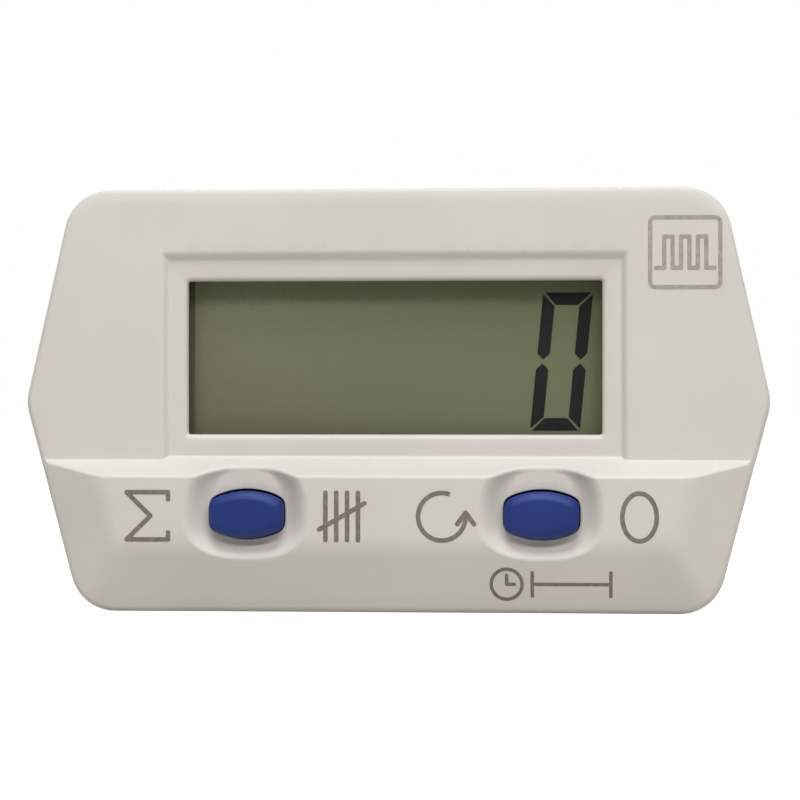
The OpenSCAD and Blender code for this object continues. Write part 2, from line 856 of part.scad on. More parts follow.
// Screw with a crossed recess, its head's underside at depth seat and its tip towards the front
module screw(at, shank_r, shank_len, head_r, head_h, seat) {
    cross_w = cross_width * head_r;
    cross_len = cross_length * head_r;
    y_head = seat + head_h;
    difference() {
        union() {
            bar(at, shank_r, seat - shank_len, seat + sliver);
            bar(at, head_r, seat, y_head);
        }
        block(cross_len, cross_w, at, y_head - head_h / 2, y_head + over);
        block(cross_w, cross_len, at, y_head - head_h / 2, y_head + over);
    }
}

module case_screws() {
    shank_len = y_case_seat - y_split + case_bite;
    color([0.7, 0.7, 0.7]) for (at = case_screw_at)
        screw(at, case_screw_r, shank_len, case_head_r, case_head_h, y_case_seat);
}

module board_screws() {
    color([0.7, 0.7, 0.7]) for (at = board_screw_at)
        screw(at, board_screw_r, board_t + board_bite, board_head_r, board_head_h, y_board_rear);
}

front_cover();
rear_cover();
display_lens();
lens_tape();
front_polariser();
front_glass();
rear_glass();
reflector();
display_frame();
contact_strips();
circuit_board();
counter_chip();
chip_leads();
timing_crystal();
chip_parts();
total_switch();
reset_switch();
switch_plates();
switch_legs();
total_plunger();
reset_plunger();
total_button();
reset_button();
cell_holder();
coin_cell();
negative_leaf();
positive_spring();
cell_cover();
input_terminal();
terminal_clamps();
cable_inlet();
mount_inserts();
case_screws();
board_screws();
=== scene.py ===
"""Looks of a small pulse counter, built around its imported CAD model.

Lengths are millimetres in the part's own frame: +X to the right, +Y to the rear and +Z up as the
display is read. They become metres where a mesh, a light or the camera is made.
"""

import json
import math
from collections import Counter

import bmesh
import bpy
import numpy as np
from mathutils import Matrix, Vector
from mathutils.geometry import delaunay_2d_cdt


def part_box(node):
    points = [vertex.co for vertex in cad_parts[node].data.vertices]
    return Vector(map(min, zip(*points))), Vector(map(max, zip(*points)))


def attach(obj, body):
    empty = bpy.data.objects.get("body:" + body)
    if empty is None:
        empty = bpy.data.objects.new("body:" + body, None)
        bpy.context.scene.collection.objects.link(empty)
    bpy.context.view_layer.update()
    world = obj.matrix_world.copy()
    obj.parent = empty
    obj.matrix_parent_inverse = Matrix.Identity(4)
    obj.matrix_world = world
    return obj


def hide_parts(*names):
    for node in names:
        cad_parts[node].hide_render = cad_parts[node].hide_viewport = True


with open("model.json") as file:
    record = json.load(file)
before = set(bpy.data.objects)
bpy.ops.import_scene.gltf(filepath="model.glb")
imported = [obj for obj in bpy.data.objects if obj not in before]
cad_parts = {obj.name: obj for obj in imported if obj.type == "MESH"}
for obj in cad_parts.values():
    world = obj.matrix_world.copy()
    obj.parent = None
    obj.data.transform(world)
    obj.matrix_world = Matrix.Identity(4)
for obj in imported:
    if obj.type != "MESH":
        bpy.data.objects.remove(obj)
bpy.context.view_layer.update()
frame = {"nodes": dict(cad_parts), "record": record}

MM = 0.001


def span(node):
    """Lowest and highest corner of a CAD node, in millimetres."""
    return [np.array(corner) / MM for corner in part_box(node)]


def middle(node):
    """Centre of a CAD node, in millimetres."""
    low, high = span(node)
    return (low + high) / 2


def extent(node):
    """Size of a CAD node along each axis, in millimetres."""
    low, high = span(node)
    return high - low


# Case
CORNER_R = 4.5
TOP_LEAN = 3.65
BASE_LEAN = 4.2
WAIST_DROP = 0.1
TOP_EDGE = 0.3
SIDE_EDGE = 0.6
EDGE_CHANGE = (32.0, 38.0)
ROLL_W = 1.4
ROLL_DEPTH = 0.17
REAR_EDGE = 1.0
PART_EDGE = 0.1
WALL = 2.0
REAR_WALL = 2.2
LIP_H = 1.2
SLIP = 0.1

# Ridge across the lower front
RIDGE_H = 2.4
PLATEAU_H = 6.8
PLATEAU_RISE = 0.35
UPPER_RUN = 1.45
SIDE_RUN = 5.7
CREST_SOFT = 0.4
FOOT_SOFT = 0.25

# Sunk border and opening of the display
LENS_LAP = 1.2
WINDOW_SHIFT = (-0.12, 0.0)
BORDER_W = (2.35, 2.62)
BORDER_RISE = 0.05
BORDER_DEPTH = 0.55
BORDER_RUN = (0.5, 0.65)
BORDER_RIM_SOFT = 0.25
BORDER_FLOOR_SOFT = 0.12
BORDER_CORNER_SOFT = 0.25
WINDOW_EDGE = 0.5
WINDOW_CORNER = 0.25
WINDOW_LIP = 0.8
WINDOW_UNDERCUT = 0.6
LENS_GAP = 0.15
RIB_T = 0.9

# Buttons and their dishes
BUTTON_W = 7.2
BUTTON_H = 4.55
BUTTON_PROUD = 0.3
BUTTON_BEVEL = (0.75, 0.6)
BEVEL_POWER = 1.35
BUTTON_DOME = 0.04
CROWN_START = 0.05
FLANGE_W = 0.9
FLANGE_T = 0.8
STEM_R = 1.65
BARREL_BOW = 0.4
BARREL_POWER = 12
RIM_POWER = 2.45
FLOOR_POWER = 3.4
DISH_RIM = (5.6, 5.4, 4.25)
DISH_FLOOR = (3.2, 4.1, 2.3)
DISH_DEPTH = 1.5
DISH_RIM_SOFT = 0.8
HOLE_EDGE = 0.1
HOLE_GAP = (0.1, 0.15)
HOLE_W = BUTTON_W + 2 * HOLE_GAP[0]
HOLE_H = BUTTON_H + 2 * HOLE_GAP[1]
HOLE_SHIFT = (0, 0.05)

# Shown digit
DIGIT_W = 4.85
DIGIT_H = 13.45
DIGIT_SLANT = math.radians(5.5)
DIGIT_FROM_MIDDLE = (16.17, -0.35)
SEGMENT_W = 1.22
SEGMENT_T = 0.03
SEGMENT_CUT = 0.1
MITRE_GAP = 0.15
TIP_GAP = 0.36
# Width and softness of the dark band of painted shade along the film's left and right edges
EDGE_SHADE_W = 0.15
EDGE_SHADE_SOFT = 0.03

# Printed marks
MARK_W = 4.8
MARK_H = 5.0
MARK_LINE = 0.45
MARK_BEFORE = (-9.5, -0.1)
MARK_AFTER = (9.3, -0.1)
HOLD_W = 11.6
HOLD_H = 3.3
HOLD_LINE = 0.34
HOLD_GAP = 0.8
HOLD_FROM_BUTTON = (0.8, -6.6)
SIGN_AT = np.array((27.9, 34.7))
SIGN_HALF = 3.55
SIGN_CORNER = 0.7
PULSE_W = 5.6
PULSE_H = 3.0
PULSE_LINE = 0.42
PULSE_COUNT = 3
SUM_HALF = 0.42 * MARK_W
SUM_SERIF = 0.7
SUM_NOTCH = 0.15 * SUM_HALF
TALLY_COUNT = 4
TALLY_PITCH = MARK_W / (TALLY_COUNT + 0.6)
TALLY_RISE = 0.55
RETURN_START = 70
ARROW_HALF = 0.8
ARROW_DROP = 0.7
ARROW_RISE = 0.4
NOUGHT_HALF = 0.34 * MARK_W
HOUR_HAND = 0.5
MINUTE_HAND = 0.6
TICK_HALF = 0.35 * HOLD_H
INK_RISE = 0.015
INK_SINK = 0.03
INK_WELD = 1e-4
MARK_STEP = 0.6
MARK_ARC_STEP = 10
CAP_STEPS = 6

# Rear fixings, twist cover and lead inlet
SCREW_HEAD_R = 2.2
SCREW_SEAT_GAP = 0.2
SCREW_SEAT_DEPTH = 2.2
SCREW_HOLE_R = 1.4
POST_R = 3.2
BOARD_HEAD_R = 1.9
CASE_BOSS_R = 2.7
CASE_BOSS_BORE = 1.3
BOARD_BOSS_R = 2.2
BOARD_BOSS_BORE = 0.85
INSERT_GAP = 0.05
INSERT_BOSS_R = 3.5
INSERT_LEN = 4.0
INSERT_FLOOR = 0.8
RECESS_EDGE = 0.2
DISC_GAP = 0.2
DISC_T = 1.2
DISC_EDGE = 0.35
BAY_R = 11.5
PLUG_R = 11.2
SLOT_LEN = 14.0
SLOT_W = 2.0
SLOT_DEPTH = 0.7
SLOT_CORNER = 0.4
LUG_W = 5.0
LUG_REACH = 1.3
LUG_T = 1.1
INLET_SEAT_GAP = 0.05
INLET_FLANGE = 0.7

# Places that the frame gives
front_low, front_high = span("front_cover")
CASE_W = front_high[0] - front_low[0]
CASE_H = front_high[2]
Y_PLATEAU = front_low[1]
Y_SPLIT = front_high[1]
Y_FACE = Y_PLATEAU + RIDGE_H
Y_PRESS = Y_PLATEAU - BUTTON_PROUD
Y_INNER = span("lens_tape")[0][1]
Y_REAR = span("rear_cover")[1][1]
Y_REAR_INNER = Y_REAR - REAR_WALL
LENS_AT = middle("display_lens")[[0, 2]]
WINDOW_AT = LENS_AT + WINDOW_SHIFT
LENS_HALF = extent("display_lens")[[0, 2]] / 2
WINDOW_HALF = LENS_HALF - LENS_LAP
BORDER_AT = WINDOW_AT + [0, BORDER_RISE]
BORDER_HALF = WINDOW_HALF + BORDER_W
BUTTONS = {key: middle(key + "_button")[[0, 2]] for key in ("total", "reset")}
BUTTON_Z = BUTTONS["total"][1]
Y_STEM = span("total_button")[1][1]
Y_FILM = span("front_polariser")[0][1]
Y_GLASS = span("front_glass")[0][1]
Y_BOARD = span("circuit_board")[0][1]
DIGIT_AT = WINDOW_AT + DIGIT_FROM_MIDDLE
DISC_AT = middle("cell_cover")[[0, 2]]
DISC_R = extent("cell_cover")[0] / 2
Y_PLUG = span("cell_cover")[0][1]
INSERT_R = extent("mount_inserts")[2] / 2
INSERT_X = span("mount_inserts")[1][0] - INSERT_R
INSERTS = [np.array((side * INSERT_X, middle("mount_inserts")[2])) for side in (-1, 1)]
INLET_AT = middle("cable_inlet")[:2]
INLET_R = extent("cable_inlet")[0] / 2
PLATEAU_Z = BUTTON_Z + PLATEAU_RISE
RIDGE_Z = PLATEAU_Z + PLATEAU_H / 2 + UPPER_RUN
LOWER_RUN = PLATEAU_Z - PLATEAU_H / 2

# Outline of the case: centres of six rounded corners, counter-clockwise from the lower left
WAIST_X = CASE_W / 2 - CORNER_R
WAIST_Z = CASE_H / 2 - WAIST_DROP
BASE_X = WAIST_X - BASE_LEAN
TOP_X = WAIST_X - TOP_LEAN
CORNERS = np.array([
    (-BASE_X, CORNER_R),
    (BASE_X, CORNER_R),
    (WAIST_X, WAIST_Z),
    (TOP_X, CASE_H - CORNER_R),
    (-TOP_X, CASE_H - CORNER_R),
    (-WAIST_X, WAIST_Z),
])
SIDES = np.roll(CORNERS, -1, axis=0) - CORNERS
SIDE_TURNS = np.arctan2(SIDES[:, 1], SIDES[:, 0]) - math.pi / 2
LOWER_LEAN = BASE_LEAN / (WAIST_Z - CORNER_R)

# Fineness of the meshes
ARC_STEPS = 10
SIDE_STEP = 1.5
EDGE_STEPS = 6
RIM_STEPS = 4
BARREL_STEPS = 96
CIRCLE_STEPS = 72
GRID_STEP = 2.5
GRID_MARGIN = 0.5
CREASE_MARGIN = 0.2
CREASE_REACH = 0.45
CREASE_ROWS = 10
DOME_STEPS = 6
BEVEL_STEPS = 9
RELIEF_ERROR = 0.002
RELIEF_SHARES = (0.25, 0.5, 0.75)
RELIEF_ROUNDS = 6
CDT_EPSILON = 1e-6
SHARP_ANGLE = math.radians(38)


def smooth_min(a, b, blend):
    """Lower of two heights, rounded where they cross."""
    share = np.clip(0.5 + 0.5 * (b - a) / blend, 0.0, 1.0)
    return b + (a - b) * share - blend * share * (1.0 - share)


def smooth_max(a, b, blend):
    """Higher of two heights, rounded where they cross."""
    return -smooth_min(-a, -b, blend)


def edge_drop(distance, radius):
    """How far a rounded edge lies below its face, at a distance from the edge."""
    turn = np.clip(1.0 - distance / radius, 0.0, 1.0)
    return radius * (1.0 - np.sqrt(1.0 - turn ** 2))


def edge_insets(radius, steps):
    """Insets of rings that follow a rounded edge, from the side wall to the face."""
    return [radius * (1.0 - math.cos(math.pi / 2 * k / steps)) for k in range(steps + 1)]


def rays(angles):
    """Unit directions at angles in the front view."""
    return np.stack((np.cos(angles), np.sin(angles)), axis=1)


def outline_spokes():
    """Points along the corners' hexagon, and the outward direction at each."""
    roots = []
    turns = []
    for i in range(len(CORNERS)):
        before, after = SIDE_TURNS[i - 1], SIDE_TURNS[i]
        turn = (after - before) % (2 * math.pi)
        turns += [before + turn * k / ARC_STEPS for k in range(ARC_STEPS + 1)]
        roots += [CORNERS[i]] * (ARC_STEPS + 1)
        count = max(1, round(np.hypot(*SIDES[i]) / SIDE_STEP))
        roots += [CORNERS[i] + SIDES[i] * k / count for k in range(1, count)]
        turns += [after] * (count - 1)
    return np.array(roots), rays(turns)


SPOKE_ROOTS, SPOKES = outline_spokes()


def outline(inset):
    """Closed loop of the case's outline, moved inward by one inset or by one for each point."""
    reach = np.broadcast_to(CORNER_R - np.asarray(inset), len(SPOKES))
    return SPOKE_ROOTS + reach[:, None] * SPOKES


def top_share(z):
    """0 along the case's sides and base, and 1 along its top."""
    share = np.clip((z - EDGE_CHANGE[0]) / (EDGE_CHANGE[1] - EDGE_CHANGE[0]), 0.0, 1.0)
    return share * share * (3 - 2 * share)


def front_edge(z):
    """Rounding of the front edge, which is tighter along the top."""
    return SIDE_EDGE + (TOP_EDGE - SIDE_EDGE) * top_share(z)


def face_roll(x, z):
    """How far the face rolls back towards the case's top."""
    turn = np.clip(1.0 - edge_distance(x, z) / ROLL_W, 0.0, 1.0)
    return ROLL_DEPTH * turn ** 2 * top_share(z)


def edge_distance(x, z):
    """Distance inward from the case's outline."""
    point = np.stack((x, z), axis=-1)
    nearest = np.full(x.shape, np.inf)
    within = np.ones(x.shape, dtype=bool)
    for corner, side in zip(CORNERS, SIDES):
        away = point - corner
        share = np.clip(away @ side / (side @ side), 0.0, 1.0)
        gap = np.linalg.norm(away - share[..., None] * side, axis=-1)
        nearest = np.minimum(nearest, gap)
        within &= side[0] * away[..., 1] - side[1] * away[..., 0] >= 0
    return CORNER_R + np.where(within, nearest, -nearest)


def box_distance(x, z, at, half, corner):
    """Distance outward from a rectangle with rounded corners."""
    across = np.abs(x - at[0]) - half[0] + corner
    upward = np.abs(z - at[1]) - half[1] + corner
    outside = np.hypot(np.maximum(across, 0.0), np.maximum(upward, 0.0))
    return outside + np.minimum(np.maximum(across, upward), 0.0) - corner


def barrel_level(x, z, at, w, h):
    """1 on a barrel outline with straight ends and a bowed top and bottom, and more outside it."""
    across = np.abs(x - at[0]) / (w / 2)
    upward = np.abs(z - at[1]) / (h / 2)
    bowed = (upward + np.sqrt(upward ** 2 + 4 * BARREL_BOW * across ** 2)) / 2
    return (across ** BARREL_POWER + bowed ** BARREL_POWER) ** (1 / BARREL_POWER)


def barrel_distance(x, z, at, w, h):
    """Distance outward from a barrel outline, along the ray from its middle."""
    level = barrel_level(x, z, at, w, h)
    return np.hypot(x - at[0], z - at[1]) * (1.0 - 1.0 / np.maximum(level, CDT_EPSILON))


def barrel_loop(at, w, h):
    """Closed loop of a barrel outline."""
    ray = circle_loop((0, 0), 1, BARREL_STEPS) * (w / 2, h / 2)
    return at + ray / barrel_level(ray[:, 0], ray[:, 1], (0, 0), w, h)[:, None]


def oval_level(x, z, at, half_w, above, below, power):
    """1 on an oval with a reach of its own above and below its middle, and more outside it."""
    across = np.abs(x - at[0]) / half_w
    upward = (z - at[1]) / np.where(z > at[1], above, -below)
    return (across ** power + upward ** power) ** (1 / power)


def circle_loop(at, radius, steps=CIRCLE_STEPS):
    """Closed loop of a circle."""
    return at + radius * rays(np.arange(steps) * 2 * math.pi / steps)


def box_loop(at, half, corner):
    """Closed loop of a rectangle with rounded corners."""
    loop = []
    quarter_turn = np.linspace(0, math.pi / 2, RIM_STEPS + 1)
    for quarter, signs in enumerate(((1, 1), (-1, 1), (-1, -1), (1, -1))):
        centre = np.array(at) + (np.array(half) - corner) * signs
        loop.append(centre + corner * rays(quarter * math.pi / 2 + quarter_turn))
    return np.concatenate(loop)


def ridge_height(x, z):
    """Forward height of the hipped ridge over the upper face, which falls on below it all round."""
    side_x = BASE_X + LOWER_LEAN * (z - CORNER_R) + CORNER_R * math.hypot(1, LOWER_LEAN)
    upper = (RIDGE_Z - z) * RIDGE_H / UPPER_RUN
    lower = z * RIDGE_H / LOWER_RUN
    side = (side_x - np.abs(x)) * RIDGE_H / SIDE_RUN
    slopes = smooth_min(smooth_min(upper, lower, CREST_SOFT), side, CREST_SOFT)
    return smooth_min(slopes, RIDGE_H, CREST_SOFT)


def border_height(x, z):
    """Forward height of the upper face, with the border sunk round the display and on to the ridge."""
    beside = (np.abs(x - BORDER_AT[0]) - BORDER_HALF[0]) * BORDER_DEPTH / BORDER_RUN[0]
    above = (z - BORDER_AT[1] - BORDER_HALF[1]) * BORDER_DEPTH / BORDER_RUN[1]
    slope = smooth_max(beside, above, BORDER_CORNER_SOFT)
    return smooth_min(smooth_max(-BORDER_DEPTH, slope, BORDER_FLOOR_SOFT), 0.0, BORDER_RIM_SOFT)


def dish_height(x, z, at):
    """Forward height of the dish round a button, whose floor curves up to its rim."""
    floor_level = np.maximum(oval_level(x, z, at, *DISH_FLOOR, FLOOR_POWER), 1.0)
    rim_level = oval_level(x, z, at, *DISH_RIM, RIM_POWER)
    rise = rim_level * (floor_level - 1) / (floor_level - rim_level)
    return RIDGE_H - DISH_DEPTH + DISH_DEPTH * rise ** 2


def hole_distance(x, z, at):
    """Distance outward from the hole of a button."""
    return barrel_distance(x, z, at + HOLE_SHIFT, HOLE_W, HOLE_H)


def front_y(x, z):
    """Depth of the front cover's face."""
    height = smooth_max(ridge_height(x, z), border_height(x, z), FOOT_SOFT)
    for at in BUTTONS.values():
        height = smooth_min(height, dish_height(x, z, at), DISH_RIM_SOFT)
    drop = edge_drop(edge_distance(x, z), front_edge(z)) + face_roll(x, z)
    drop += edge_drop(box_distance(x, z, WINDOW_AT, WINDOW_HALF, WINDOW_CORNER), WINDOW_EDGE)
    for at in BUTTONS.values():
        drop += edge_drop(hole_distance(x, z, at), HOLE_EDGE)
    return Y_FACE - height + drop


class Solid:
    """Points in millimetres and the faces between them, which become one closed mesh."""

    def __init__(self):
        self.points = []
        self.faces = []

    def add(self, points):
        """Adds points and returns their numbers."""
        first = len(self.points)
        self.points += [tuple(float(v) for v in point) for point in points]
        return list(range(first, len(self.points)))

    def ring(self, loop, y):
        """Adds a front-view loop at one depth, or at a depth for each point."""
        depths = np.broadcast_to(y, len(loop))
        return self.add((point[0], depth, point[1]) for point, depth in zip(loop, depths))

    def strip(self, first, second):
        """Joins two closed rings that have as many points."""
        for i in range(len(first)):
            self.faces.append((first[i - 1], first[i], second[i], second[i - 1]))

    def cap(self, ring):
        """Closes a ring with one flat face."""
        self.faces.append(tuple(ring))

    def wall(self, ring, loops_and_depths):
        """Carries a ring on through further loops, and returns the last ring."""
        for loop, y in loops_and_depths:
            following = self.ring(loop, y)
            self.strip(ring, following)
            ring = following
        return ring

    def patch(self, flat, triangles, y):
        """Adds triangles of a front-view region at one depth, or at a depth for each point."""
        numbers = self.ring(flat, y)
        self.faces += [tuple(numbers[i] for i in triangle) for triangle in triangles]
        return numbers

    def prism(self, loop, front, rear):
        """Closed prism of a front-view loop between two depths."""
        ends = [self.ring(loop, y) for y in (front, rear)]
        self.strip(*ends)
        for end in ends:
            self.cap(end)

    def sleeve(self, loops_and_depths):
        """Closed sleeve whose section runs through loops and back to the first."""
        rings = [self.ring(loop, y) for loop, y in loops_and_depths]
        for i in range(len(rings)):
            self.strip(rings[i - 1], rings[i])

    def tube(self, at, outer, inner, front, rear):
        """Closed round tube along the depth."""
        corners = ((outer, front), (outer, rear), (inner, rear), (inner, front))
        self.sleeve((circle_loop(at, radius), y) for radius, y in corners)

    def finish(self, name, body, slot, material, *nodes):
        """Makes the mesh object, lets it ride on a body and stand for CAD nodes."""
        mesh = bpy.data.meshes.new(name)
        mesh.from_pydata([[v * MM for v in point] for point in self.points], [], self.faces)
        work = bmesh.new()
        work.from_mesh(mesh)
        bmesh.ops.recalc_face_normals(work, faces=work.faces)
        work.to_mesh(mesh)
        work.free()
        mesh.shade_smooth()
        mesh.set_sharp_from_angle(angle=SHARP_ANGLE)
        mesh.materials.append(material)
        piece = bpy.data.objects.new(name, mesh)
        bpy.context.scene.collection.objects.link(piece)
        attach(piece, body)
        if nodes:
            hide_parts(*nodes)


def number_loops(loops):
    """Points of closed loops in one list, and each loop's numbers in it."""
    ends = np.cumsum([0] + [len(loop) for loop in loops])
    numbers = [list(range(*pair)) for pair in zip(ends[:-1], ends[1:])]
    return [Vector(point) for loop in loops for point in loop], numbers


def triangulate(loops, free=(), depth=None, refine=None, rounds=0):
    """Triangles between closed loops, with more points where depth() curves.

    Returns the flat points, the triangles and each loop's point numbers.
    """
    points, rings = number_loops(loops)
    points += [Vector(point) for point in free]
    edges = [(a, b) for ring in rings for a, b in zip(ring, ring[1:] + ring[:1])]
    for turn in range(rounds + 1):
        verts, lines, faces, sources, _, _ = delaunay_2d_cdt(points, edges, [], 1, CDT_EPSILON)
        flat = np.array([vert[:] for vert in verts])
        if turn == rounds:
            break
        starts, ends = np.array(lines).T
        levels = depth(*flat.T)
        error = np.zeros(len(starts))
        for share in RELIEF_SHARES:
            x, z = (flat[starts] + share * (flat[ends] - flat[starts])).T
            chord = levels[starts] + share * (levels[ends] - levels[starts])
            error = np.maximum(error, np.abs(depth(x, z) - chord))
        mid = (flat[starts] + flat[ends]) / 2
        points += [Vector(point) for point in mid[(error > RELIEF_ERROR) & refine(*mid.T)]]
    numbers = {source: i for i, group in enumerate(sources) for source in group}
    return flat, faces, [[numbers[i] for i in ring] for ring in rings]


def inside(loop, points):
    """Whether points of the plane lie inside a closed loop."""
    odd = np.zeros(len(points), dtype=bool)
    for start, end in zip(loop, np.roll(loop, -1, axis=0)):
        away, along = points - start, end - start
        crosses = (away[:, 1] < 0) != (away[:, 1] < along[1])
        odd ^= crosses & ((away[:, 1] * along[0] > away[:, 0] * along[1]) == (along[1] > 0))
    return odd


def keep_triangles(flat, faces, *holes):
    """Triangles whose middles lie outside every hole's loop."""
    mid = np.array([flat[list(face)].mean(axis=0) for face in faces])
    outside = np.ones(len(faces), dtype=bool)
    for hole in holes:
        outside &= ~inside(hole, mid)
    return [face for face, kept in zip(faces, outside) if kept]


def grid_points(across, upward, clear):
    """Points of a grid, where clear() holds."""
    x, z = [axis.ravel() for axis in np.meshgrid(across, upward)]
    kept = clear(x, z)
    return np.stack((x[kept], z[kept]), axis=1)


def face_points(clear):
    """Coarse grid over the face and close rows along the ridge's creases, where clear() holds."""
    ends = -CASE_W / 2, CASE_W / 2
    rows = [level + shift for level in (RIDGE_Z, RIDGE_Z - UPPER_RUN, LOWER_RUN)
            for shift in np.linspace(-CREASE_REACH, CREASE_REACH, CREASE_ROWS)]
    coarse = grid_points(np.arange(*ends, GRID_STEP), np.arange(0, CASE_H, GRID_STEP),
                         lambda x, z: clear(x, z, GRID_MARGIN))
    close = grid_points(np.arange(*ends, SIDE_STEP), rows, lambda x, z: clear(x, z, CREASE_MARGIN))
    return np.concatenate((coarse, close))


def boss_places():
    """Front-view places of the case screws and of the board screws."""
    places = []
    for node, radius in (("case_screws", SCREW_HEAD_R), ("board_screws", BOARD_HEAD_R)):
        low, high = span(node)
        reach = high[0] - radius
        places.append([np.array((side * reach, z)) for side in (-1, 1)
                       for z in (low[2] + radius, high[2] - radius)])
    return places


def front_cover(material):
    """Front cover: relief face, openings, side wall with its lap, and bosses inside."""
    edge_r = front_edge(outline(0)[:, 1])
    outer = [outline(edge_r * share) for share in edge_insets(1.0, EDGE_STEPS)]
    window = [box_loop(WINDOW_AT, WINDOW_HALF + grow, WINDOW_CORNER + grow)
              for grow in edge_insets(WINDOW_EDGE, RIM_STEPS)]
    holes = {key: [barrel_loop(at + HOLE_SHIFT, HOLE_W + 2 * grow, HOLE_H + 2 * grow)
                   for grow in edge_insets(HOLE_EDGE, RIM_STEPS)] for key, at in BUTTONS.items()}
    edges = {"outer": outer, "window": window, **holes}

    def open_face(x, z, margin=0.0):
        clear = edge_distance(x, z) > front_edge(z) + margin
        clear &= box_distance(x, z, WINDOW_AT, WINDOW_HALF, WINDOW_CORNER) > WINDOW_EDGE + margin
        for at in BUTTONS.values():
            clear &= hole_distance(x, z, at) > HOLE_EDGE + margin
        return clear

    loops = [loop for edge in edges.values() for loop in edge]
    flat, faces, rings = triangulate(loops, face_points(open_face), front_y, open_face, RELIEF_ROUNDS)
    solid = Solid()
    mouths = [hole[0] for hole in holes.values()]
    face = solid.patch(flat, keep_triangles(flat, faces, window[0], *mouths), front_y(*flat.T))
    edge_of = {}
    first = 0
    for name, edge in edges.items():
        edge_of[name] = [face[i] for i in rings[first]]
        first += len(edge)

    undercut = box_loop(WINDOW_AT, WINDOW_HALF + WINDOW_UNDERCUT, WINDOW_CORNER + WINDOW_UNDERCUT)
    openings = [undercut, *mouths]
    flat, faces, rings = triangulate([outline(WALL)] + openings)
    back = solid.patch(flat, keep_triangles(flat, faces, *openings), Y_INNER)
    back_rings = [[back[i] for i in ring] for ring in rings]
    y_lap = Y_SPLIT - LIP_H - SLIP
    rim = solid.wall(edge_of["outer"], (
        (outline(0), Y_SPLIT - PART_EDGE),
        (outline(PART_EDGE), Y_SPLIT),
        (outline(WALL / 2), Y_SPLIT),
        (outline(WALL / 2), y_lap),
        (outline(WALL), y_lap)))
    solid.strip(rim, back_rings[0])
    y_lip = Y_FACE + BORDER_DEPTH + WINDOW_LIP
    lip = solid.wall(edge_of["window"], ((window[0], y_lip), (undercut, y_lip)))
    solid.strip(lip, back_rings[1])
    for key, ring in zip(BUTTONS, back_rings[2:]):
        solid.strip(edge_of[key], ring)

    case_bosses, board_bosses = boss_places()
    for at in case_bosses:
        solid.tube(at, CASE_BOSS_R, CASE_BOSS_BORE, Y_INNER - SLIP, Y_SPLIT - SLIP)
    for at in board_bosses:
        solid.tube(at, BOARD_BOSS_R, BOARD_BOSS_BORE, Y_INNER - SLIP, Y_BOARD)
    lens_ribs(solid)
    solid.finish("front_shell", "case", "ivory_plastic", material, "front_cover")


def lens_ribs(solid):
    """Rib round the lens, inside the front cover, which presses on the glass."""
    inner = LENS_HALF + LENS_GAP
    outer = inner + RIB_T
    y_root = Y_INNER - SLIP
    corners = ((outer, y_root), (outer, Y_GLASS), (inner, Y_GLASS), (inner, y_root))
    solid.sleeve((box_loop(LENS_AT, half, WINDOW_CORNER), y) for half, y in corners)


def rear_face(solid, outer_loop, edge, holes):
    """Flat face at the rear, with a rounded edge and round-edged holes.

    Each hole is a function from a growth to its loop. Returns the rings of the edge and of the holes.
    """
    insets, growths = edge_insets(edge, EDGE_STEPS), edge_insets(RECESS_EDGE, RIM_STEPS)
    loops = [outer_loop(inset) for inset in insets] + [hole(grow) for hole in holes for grow in growths]
    drops = [edge_drop(inset, edge) for inset in insets]
    drops += [edge_drop(grow, RECESS_EDGE) for grow in growths] * len(holes)
    flat, faces, rings = triangulate(loops)
    y = np.full(len(flat), Y_REAR)
    for ring, drop in zip(rings, drops):
        y[ring] -= drop
    mouths = range(len(insets), len(loops), len(growths))
    numbers = solid.patch(flat, keep_triangles(flat, faces, *[loops[k] for k in mouths]), y)
    return [[numbers[i] for i in rings[k]] for k in (0, *mouths)]


def round_hole(at, radius):
    """A circle as rear_face() takes its holes."""
    return lambda grow: circle_loop(at, radius + grow)


def rear_cover(material):
    """Rear cover: face with its recesses, side wall with its lip, posts and bosses inside."""
    screws = boss_places()[0]
    seat_r = SCREW_HEAD_R + SCREW_SEAT_GAP
    insert_r = INSERT_R + INSERT_GAP
    bay_seat_r = DISC_R + DISC_GAP
    solid = Solid()
    holes = [round_hole(DISC_AT, bay_seat_r)]
    holes += [round_hole(at, seat_r) for at in screws]
    holes += [round_hole(at, insert_r) for at in INSERTS]
    rings = rear_face(solid, outline, REAR_EDGE, holes)

    openings = [circle_loop(DISC_AT, BAY_R)]
    openings += [circle_loop(at, POST_R) for at in screws]
    openings += [circle_loop(at, INSERT_BOSS_R) for at in INSERTS]
    flat, faces, inner = triangulate([outline(WALL)] + openings)
    back = solid.patch(flat, keep_triangles(flat, faces, *openings), Y_REAR_INNER)
    inner = [[back[i] for i in ring] for ring in inner]

    bay = solid.wall(rings[1], (
        (circle_loop(DISC_AT, bay_seat_r), Y_REAR - DISC_T),
        (circle_loop(DISC_AT, BAY_R), Y_REAR - DISC_T)))
    solid.strip(bay, inner[1])
    for at, ring, post in zip(screws, rings[2:6], inner[2:6]):
        hole = solid.wall(ring, (
            (circle_loop(at, seat_r), Y_REAR - SCREW_SEAT_DEPTH),
            (circle_loop(at, SCREW_HOLE_R), Y_REAR - SCREW_SEAT_DEPTH),
            (circle_loop(at, SCREW_HOLE_R), Y_SPLIT),
            (circle_loop(at, POST_R), Y_SPLIT)))
        solid.strip(hole, post)
    for at, ring, boss in zip(INSERTS, rings[6:8], inner[6:8]):
        solid.cap(solid.wall(ring, ((circle_loop(at, insert_r), Y_REAR - INSERT_LEN),)))
        y_end = Y_REAR - INSERT_LEN - INSERT_FLOOR
        solid.cap(solid.wall(boss, ((circle_loop(at, INSERT_BOSS_R), y_end),)))
    rear_sides(solid, rings[0], inner[0])
    solid.finish("rear_shell", "case", "ivory_plastic", material, "rear_cover")


